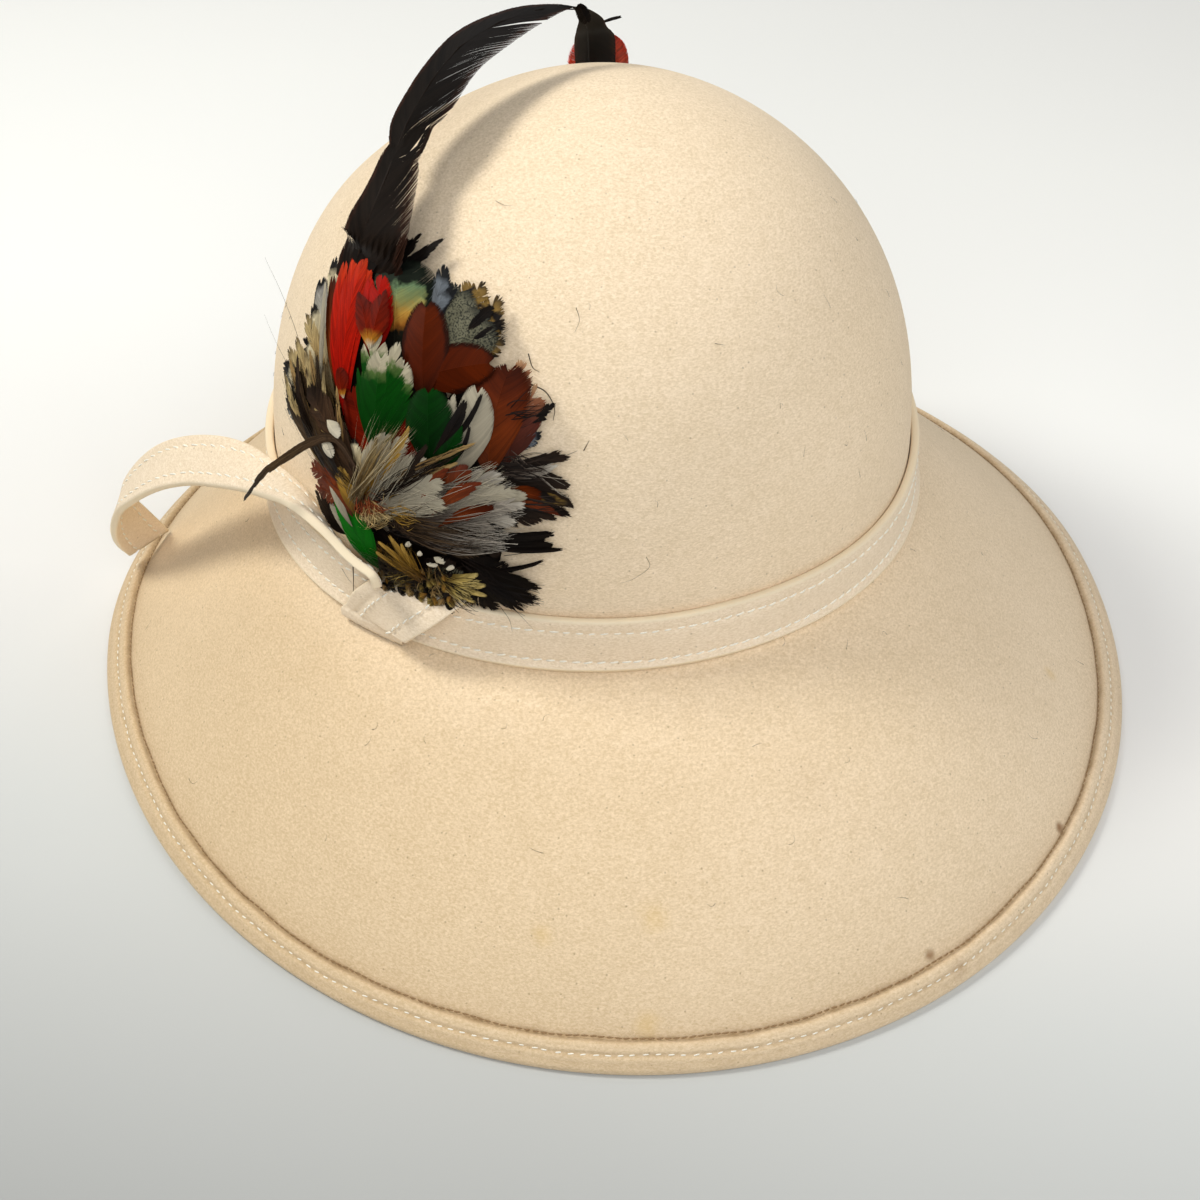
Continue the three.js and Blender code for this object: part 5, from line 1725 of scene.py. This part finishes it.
def plume_foot():
    """Short black feathers that spread from the mount beside the plume."""
    parts = []
    for number, (x0, m0, x1, m1, half, low, high, bend) in enumerate(FOOT_FEATHERS):
        flat = feather(math.hypot(x1 - x0, m1 - m0), half, 300 + number, *SHAPES["foot"])
        parts.append(lay_on_crown(flat, (x0, m0), (x1, m1), (low, high), bend, 0.4))
    return make_feathers("black_foot_feathers", parts, "black")


plume_foot()

# %% A long thin feather
THIN_ROUTE = [
    # x, y, z
    (-72, -54, 106), (-77, -47, 112.5), (-83, -42.5, 109.5), (-89.7, -39, 103.4), (-96.6, -36, 96.5),
    (-100.4, -33, 89.4), (-102.9, -29.1, 83.6),
]
LOOKS_AWAY_FROM = (CROWN["x"], CROWN["y"], 60.0)


def thin_feather():
    """A long stripped feather that curves out over the tail, with a pale shaft."""
    route = smooth_between(THIN_ROUTE, 60)
    flat = feather(step_lengths(route).sum(), 1.0, 77, *SHAPES["stripped"], gap=0.3)
    bent = along_route(flat, route, unit(route - np.array(LOOKS_AWAY_FROM)))
    return make_feathers("thin_curved_feather", [bent], "dark_hackle")


thin_feather()

# %% The red tuft behind the crown
HACKLE = [
    # x, y, z, lean in degrees, from the tuft's loose lower end to its bound upper end
    (9.5, 101, 131, 57), (8.3, 92, 142, 52), (6.6, 82, 152, 48), (5.0, 75, 158, 46), (4.0, 72, 161.5, 44),
]
FINGERS = [(-5.0, 4.4), (3.6, 4.8), (0.5, 5.2), (6.0, 3.0)]  # how far aside, and half width
FINGER_LIFT = 0.25  # each lies this much over the one before


def red_tuft():
    """Soft red feathers, spread at the bottom like a hand, over the plume's end."""
    rows = smooth_between(HACKLE, 60)
    facing = facing_back(np.radians(rows[:, 3]))
    length = step_lengths(rows[:, :3]).sum()
    parts = []
    for number, (aside, half) in enumerate(FINGERS):
        route = rows[:, :3].copy()
        route[:, 0] += aside * (1 - np.linspace(0, 1, len(route)) ** 3)
        points, *rest = feather(length, half, 60 + number, *SHAPES["marabou"], thick=0.4)
        points = points + np.array([0, 0, FINGER_LIFT * number])
        parts.append(along_route([points, *rest], route, facing))
    piece = make_feathers("red_tuft", parts, "coral")
    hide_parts("red_hackle")
    return piece


red_tuft()

# %% [markdown]
# ## Scraps, loose fibres and lint
# An old mount sheds. Torn bits of vane stick to the plume's bend, single barbs lie on the felt
# beside the mount or stand off it, and short hairs have settled all over the hat. They are so
# thin that four sides are enough for each.

# %% Torn bits of the plume
SCRAPS = [
    # half width, points of the run
    (1.8, [(-4.2, 45.0, 180.4), (-2.8, 45.8, 177.8), (-1.2, 46.4, 174.6)]),
    (0.3, [(4.6, 58.9, 169.4), (7.0, 57.4, 170.8), (9.4, 56.8, 171.5)]),
]
SCRAPS_FACE = (-0.1, -0.8, 0.6)


def scraps(steps=20):
    """Torn bits of the plume at its bend."""
    parts = []
    for number, (half, points) in enumerate(SCRAPS):
        route = smooth_between(points, steps)
        flat = feather(step_lengths(route).sum(), half, 40 + number, *SHAPES["scrap"], gap=0.2)
        parts.append(along_route(flat, route, np.tile(SCRAPS_FACE, (steps, 1))))
    return make_feathers("plume_scraps", parts, "black")


scraps()

# %% Loose fibres
FIBRES = [
    # thickness, then x, m on the crown's map and lift for each point
    (0.16, [(-36, 64, 6), (-42, 69, 8), (-48, 73, 11), (-54, 76, 15)]),
    (0.12, [(-40, 58, 6), (-46, 62, 9), (-50, 66, 12)]),
    (0.30, [(24, 84, 1.2), (26, 81, 1), (28, 80, 0.8)]),
    (0.35, [(27, 77, 2), (31, 75.5, 1.2), (34, 72, 0.8), (34.5, 69, 0.6)]),
    (0.22, [(35, 58, 2), (39, 60.5, 1), (42, 62, 0.7)]), (0.25, [(43.5, 62, 0.6), (44.3, 64.5, 0.6)]),
    (0.35, [(40, 47, 0.6), (41.4, 49, 0.6), (42, 51, 0.6)]),
    (0.18, [(28, 34, 2), (36, 36, 1.2), (43, 37, 0.8)]),
    (0.18, [(24, 29, 3), (32, 31.5, 1.6), (38, 32.5, 1)]),
    (0.12, [(28, 22, 2.4), (33, 18, 3.6), (36, 15, 4.2)]),
    (0.14, [(26, 21, 2.4), (30, 17, 4), (31, 13.5, 4.6)]),
    (0.12, [(24, 60, 4), (33, 52, 3), (40, 46, 1.6)]),
    (0.40, [(-13, 18.5, 5.5), (-12.2, 16, 6.4), (-12.2, 11.5, 6.8), (-12.4, 8, 6)]),
    (0.12, [(-18, 15, 5), (-14, 14, 6.2), (-11, 13, 6.4)]),
    (0.10, [(63, 34, 0.4), (64, 31, 0.5), (60, 28, 0.5), (57, 27, 0.4)]),
    (0.12, [(-1, 120, 0.4), (2, 119.5, 0.5), (4, 120, 0.4)]),
    (0.14, [(31, 96, 0.4), (33, 93, 0.5), (33, 90, 0.4)]), (0.14, [(70, 84, 0.4), (73, 83, 0.5)]),
]
ROD_TAPER = 0.7


def thin_rod(middle, outward, thick):
    """A rod of four sides along the points of middle, which tapers to its end."""
    steps = len(middle)
    way = np.gradient(middle, axis=0)
    side = unit(np.cross(way, outward))
    up = unit(np.cross(side, way))
    radius = thick / 2 * (1 - ROD_TAPER * np.linspace(0, 1, steps)[:, None])
    ring = [middle + radius * (side * a + up * b) for a, b in ((1, 0), (0, 1), (-1, 0), (0, -1))]
    uv = np.repeat(np.stack([np.full(steps, 0.5), np.linspace(0, 0.9, steps)], -1), 4, 0)
    faces = grid_faces(steps, 4, wrap_columns=True)
    return np.stack(ring, axis=1).reshape(-1, 3), faces, uv, np.full(4 * steps, HALF_SHADE)


def loose_fibres():
    """Single barbs and quill ends that have come away from the mount."""
    parts = []
    for thick, points in FIBRES:
        middle = on_crown(*smooth_between(points, 14).T)
        parts.append(thin_rod(middle, middle - np.array([CROWN["x"], CROWN["y"], CROWN["foot"]]), thick))
    return make_feathers("loose_fibres", parts, "dark_hackle")


loose_fibres()

# %% Lint
LINT = dict(count=110, length=(1.0, 3.4), thick=(0.06, 0.11), bow=0.6, lift=0.15)
LINT_TOP = 96  # the highest hair, up the crown
LINT_INBOARD = 5  # the outermost hair lies this far inside the turned-up edge
LINT_RADIUS = 110  # turns a hair's length round the hat into an angle


def lint(steps=8):
    """Short hairs that have settled on the felt, all over the hat."""
    chance = np.random.default_rng(23)
    hairs = []
    t = np.linspace(-1, 1, steps)
    for _ in range(LINT["count"]):
        angle, height = chance.uniform(0, 2 * np.pi), chance.uniform(-1, 1)
        v = height * (LINT_TOP if height > 0 else welt_start(angle) - LINT_INBOARD)
        length, bow = chance.uniform(*LINT["length"]), chance.normal(0, LINT["bow"])
        heading = chance.uniform(0, np.pi)
        along, across = t * length / 2, bow * (1 - t**2)
        round_it = along * np.cos(heading) - across * np.sin(heading)
        up_it = along * np.sin(heading) + across * np.cos(heading)
        place = angle + round_it / LINT_RADIUS, v + up_it
        thick = chance.uniform(*LINT["thick"])
        hairs.append(thin_rod(on_felt(*place, LINT["lift"]), felt_normal(*place), thick))
    return make_feathers("lint", hairs, "brown")


lint()

# %% [markdown]
# ## Floor, light and camera
# The hat lies on a plain pale surface under large soft lights, as in a product studio. Its paint
# is greyer in front and on the left: painted shade. A soft light from above and behind draws the
# plume's shadow on the crown, and one from above the camera fills the front. A bigger light gives
# a softer shadow, so the key is the smallest. A picture of a room could light it too, but four
# lights are easier to read and to change.

# %% The floor
FLOOR_HALF = 6.0  # m
# Painted shade: these greys darken the floor towards the front and the left, where the light falls off.
FLOOR_SHADE_GREYS = [(0.0, "#A1A3A2"), (0.22, "#CCCFCE"), (0.385, "#EBEBE9"), (0.66, "#F7F8F6"), (1.0, "#FCFDFA")]
FLOOR_SHADE_RAMP = (-0.25, 0.40)  # m, from the grey front to the white back
FLOOR_SKEW = 0.45  # the ramp runs partly to the side
MOTTLE = 0.03  # m, how far its edge wanders


def pale_floor():
    """A matt painted board, so it has no reflections. It is greyer in front and on the left, white at the
    back: painted shade for the light that falls off towards the front.
    """
    board = new_material("matt_board_painted_shade")
    place = add_node(board, "TexCoord").outputs["Object"]
    side, back, _ = add_node(board, "SeparateXYZ", Vector=place).outputs
    mottle = add_node(board, "TexNoise", Vector=place, Scale=3.0, Detail=2.0)
    back = add_node(board, "Math", TIMES_PLUS, Value_0=mottle, Value_1=MOTTLE, Value_2=back)
    back = add_node(board, "Math", TIMES_PLUS, Value_0=side, Value_1=FLOOR_SKEW, Value_2=back)
    share = add_node(board, "MapRange", Value=back, From_Min=FLOOR_SHADE_RAMP[0], From_Max=FLOOR_SHADE_RAMP[1])
    colour = add_node(board, "ValToRGB", {"stops": FLOOR_SHADE_GREYS}, Fac=share)
    shader = add_node(board, "BsdfPrincipled", Base_Color=colour, Roughness=0.85, Specular_IOR_Level=0.2)
    add_node(board, "OutputMaterial", Surface=shader)
    mesh = bpy.data.meshes.new("floor")
    corners = [(x * FLOOR_HALF, y * FLOOR_HALF, 0) for x, y in ((-1, -1), (1, -1), (1, 1), (-1, 1))]
    mesh.from_pydata(corners, [], [(0, 1, 2, 3)])
    mesh.materials.append(board)
    floor = bpy.data.objects.new("floor", mesh)
    bpy.context.scene.collection.objects.link(floor)
    return floor


pale_floor()
print("the floor is", 2 * FLOOR_HALF, "m wide")

# %% Lights
def look_at(thing, place, target):
    """Puts a light or a camera at a place, turned to a target, in metres, and adds it."""
    thing.location = place
    thing.rotation_euler = (Vector(target) - Vector(place)).to_track_quat("-Z", "Y").to_euler()
    bpy.context.scene.collection.objects.link(thing)
    return thing


def area_light(name, place, target, size, watts, hex_colour):
    """A square soft light at a place, turned to look at a target, in metres."""
    light = bpy.data.lights.new(name, "AREA")
    light.size = size
    light.energy = watts
    light.color = linear(hex_colour)[:3]
    return look_at(bpy.data.objects.new(name, light), place, target)


area_light("key_from_the_left", (-0.63, 0.15, 0.87), (0.0, 0.02, 0.1), 0.28, 6.6, "#FFFCF4")
area_light("fill_from_the_right", (0.68, -0.38, 0.72), (0.0, 0.0, 0.08), 0.7, 3.4, "#FFFDFA")
area_light("fill_from_the_front", (-0.15, -0.80, 0.66), (0.0, 0.0, 0.08), 0.8, 5.7, "#FFFFFF")
area_light("wash_on_the_back", (0.1, 1.2, 1.1), (0.05, 0.75, 0.0), 1.2, 7.0, "#FFFFFF")

world = bpy.data.worlds.new("studio_air")
world.use_nodes = True
world.node_tree.nodes["Background"].inputs["Color"].default_value = linear("#F4F6FF")
world.node_tree.nodes["Background"].inputs["Strength"].default_value = 0.07
bpy.context.scene.world = world
print(len(bpy.data.lights), "lights")

# %% The camera
def camera(place, target, focal):
    """A camera at a place, looking at a target, in metres."""
    lens = bpy.data.cameras.new("camera")
    lens.lens = focal
    lens.sensor_width = 36.0
    lens.clip_start = 0.01
    viewer = look_at(bpy.data.objects.new("camera", lens), place, target)
    bpy.context.scene.camera = viewer
    return viewer


viewer = camera((-0.0706, -0.4393, 0.381), (-0.0067, -0.0116, 0.0243), 57.67)
bpy.context.scene.view_settings.view_transform = "Standard"
print("a lens of", viewer.data.lens, "mm")
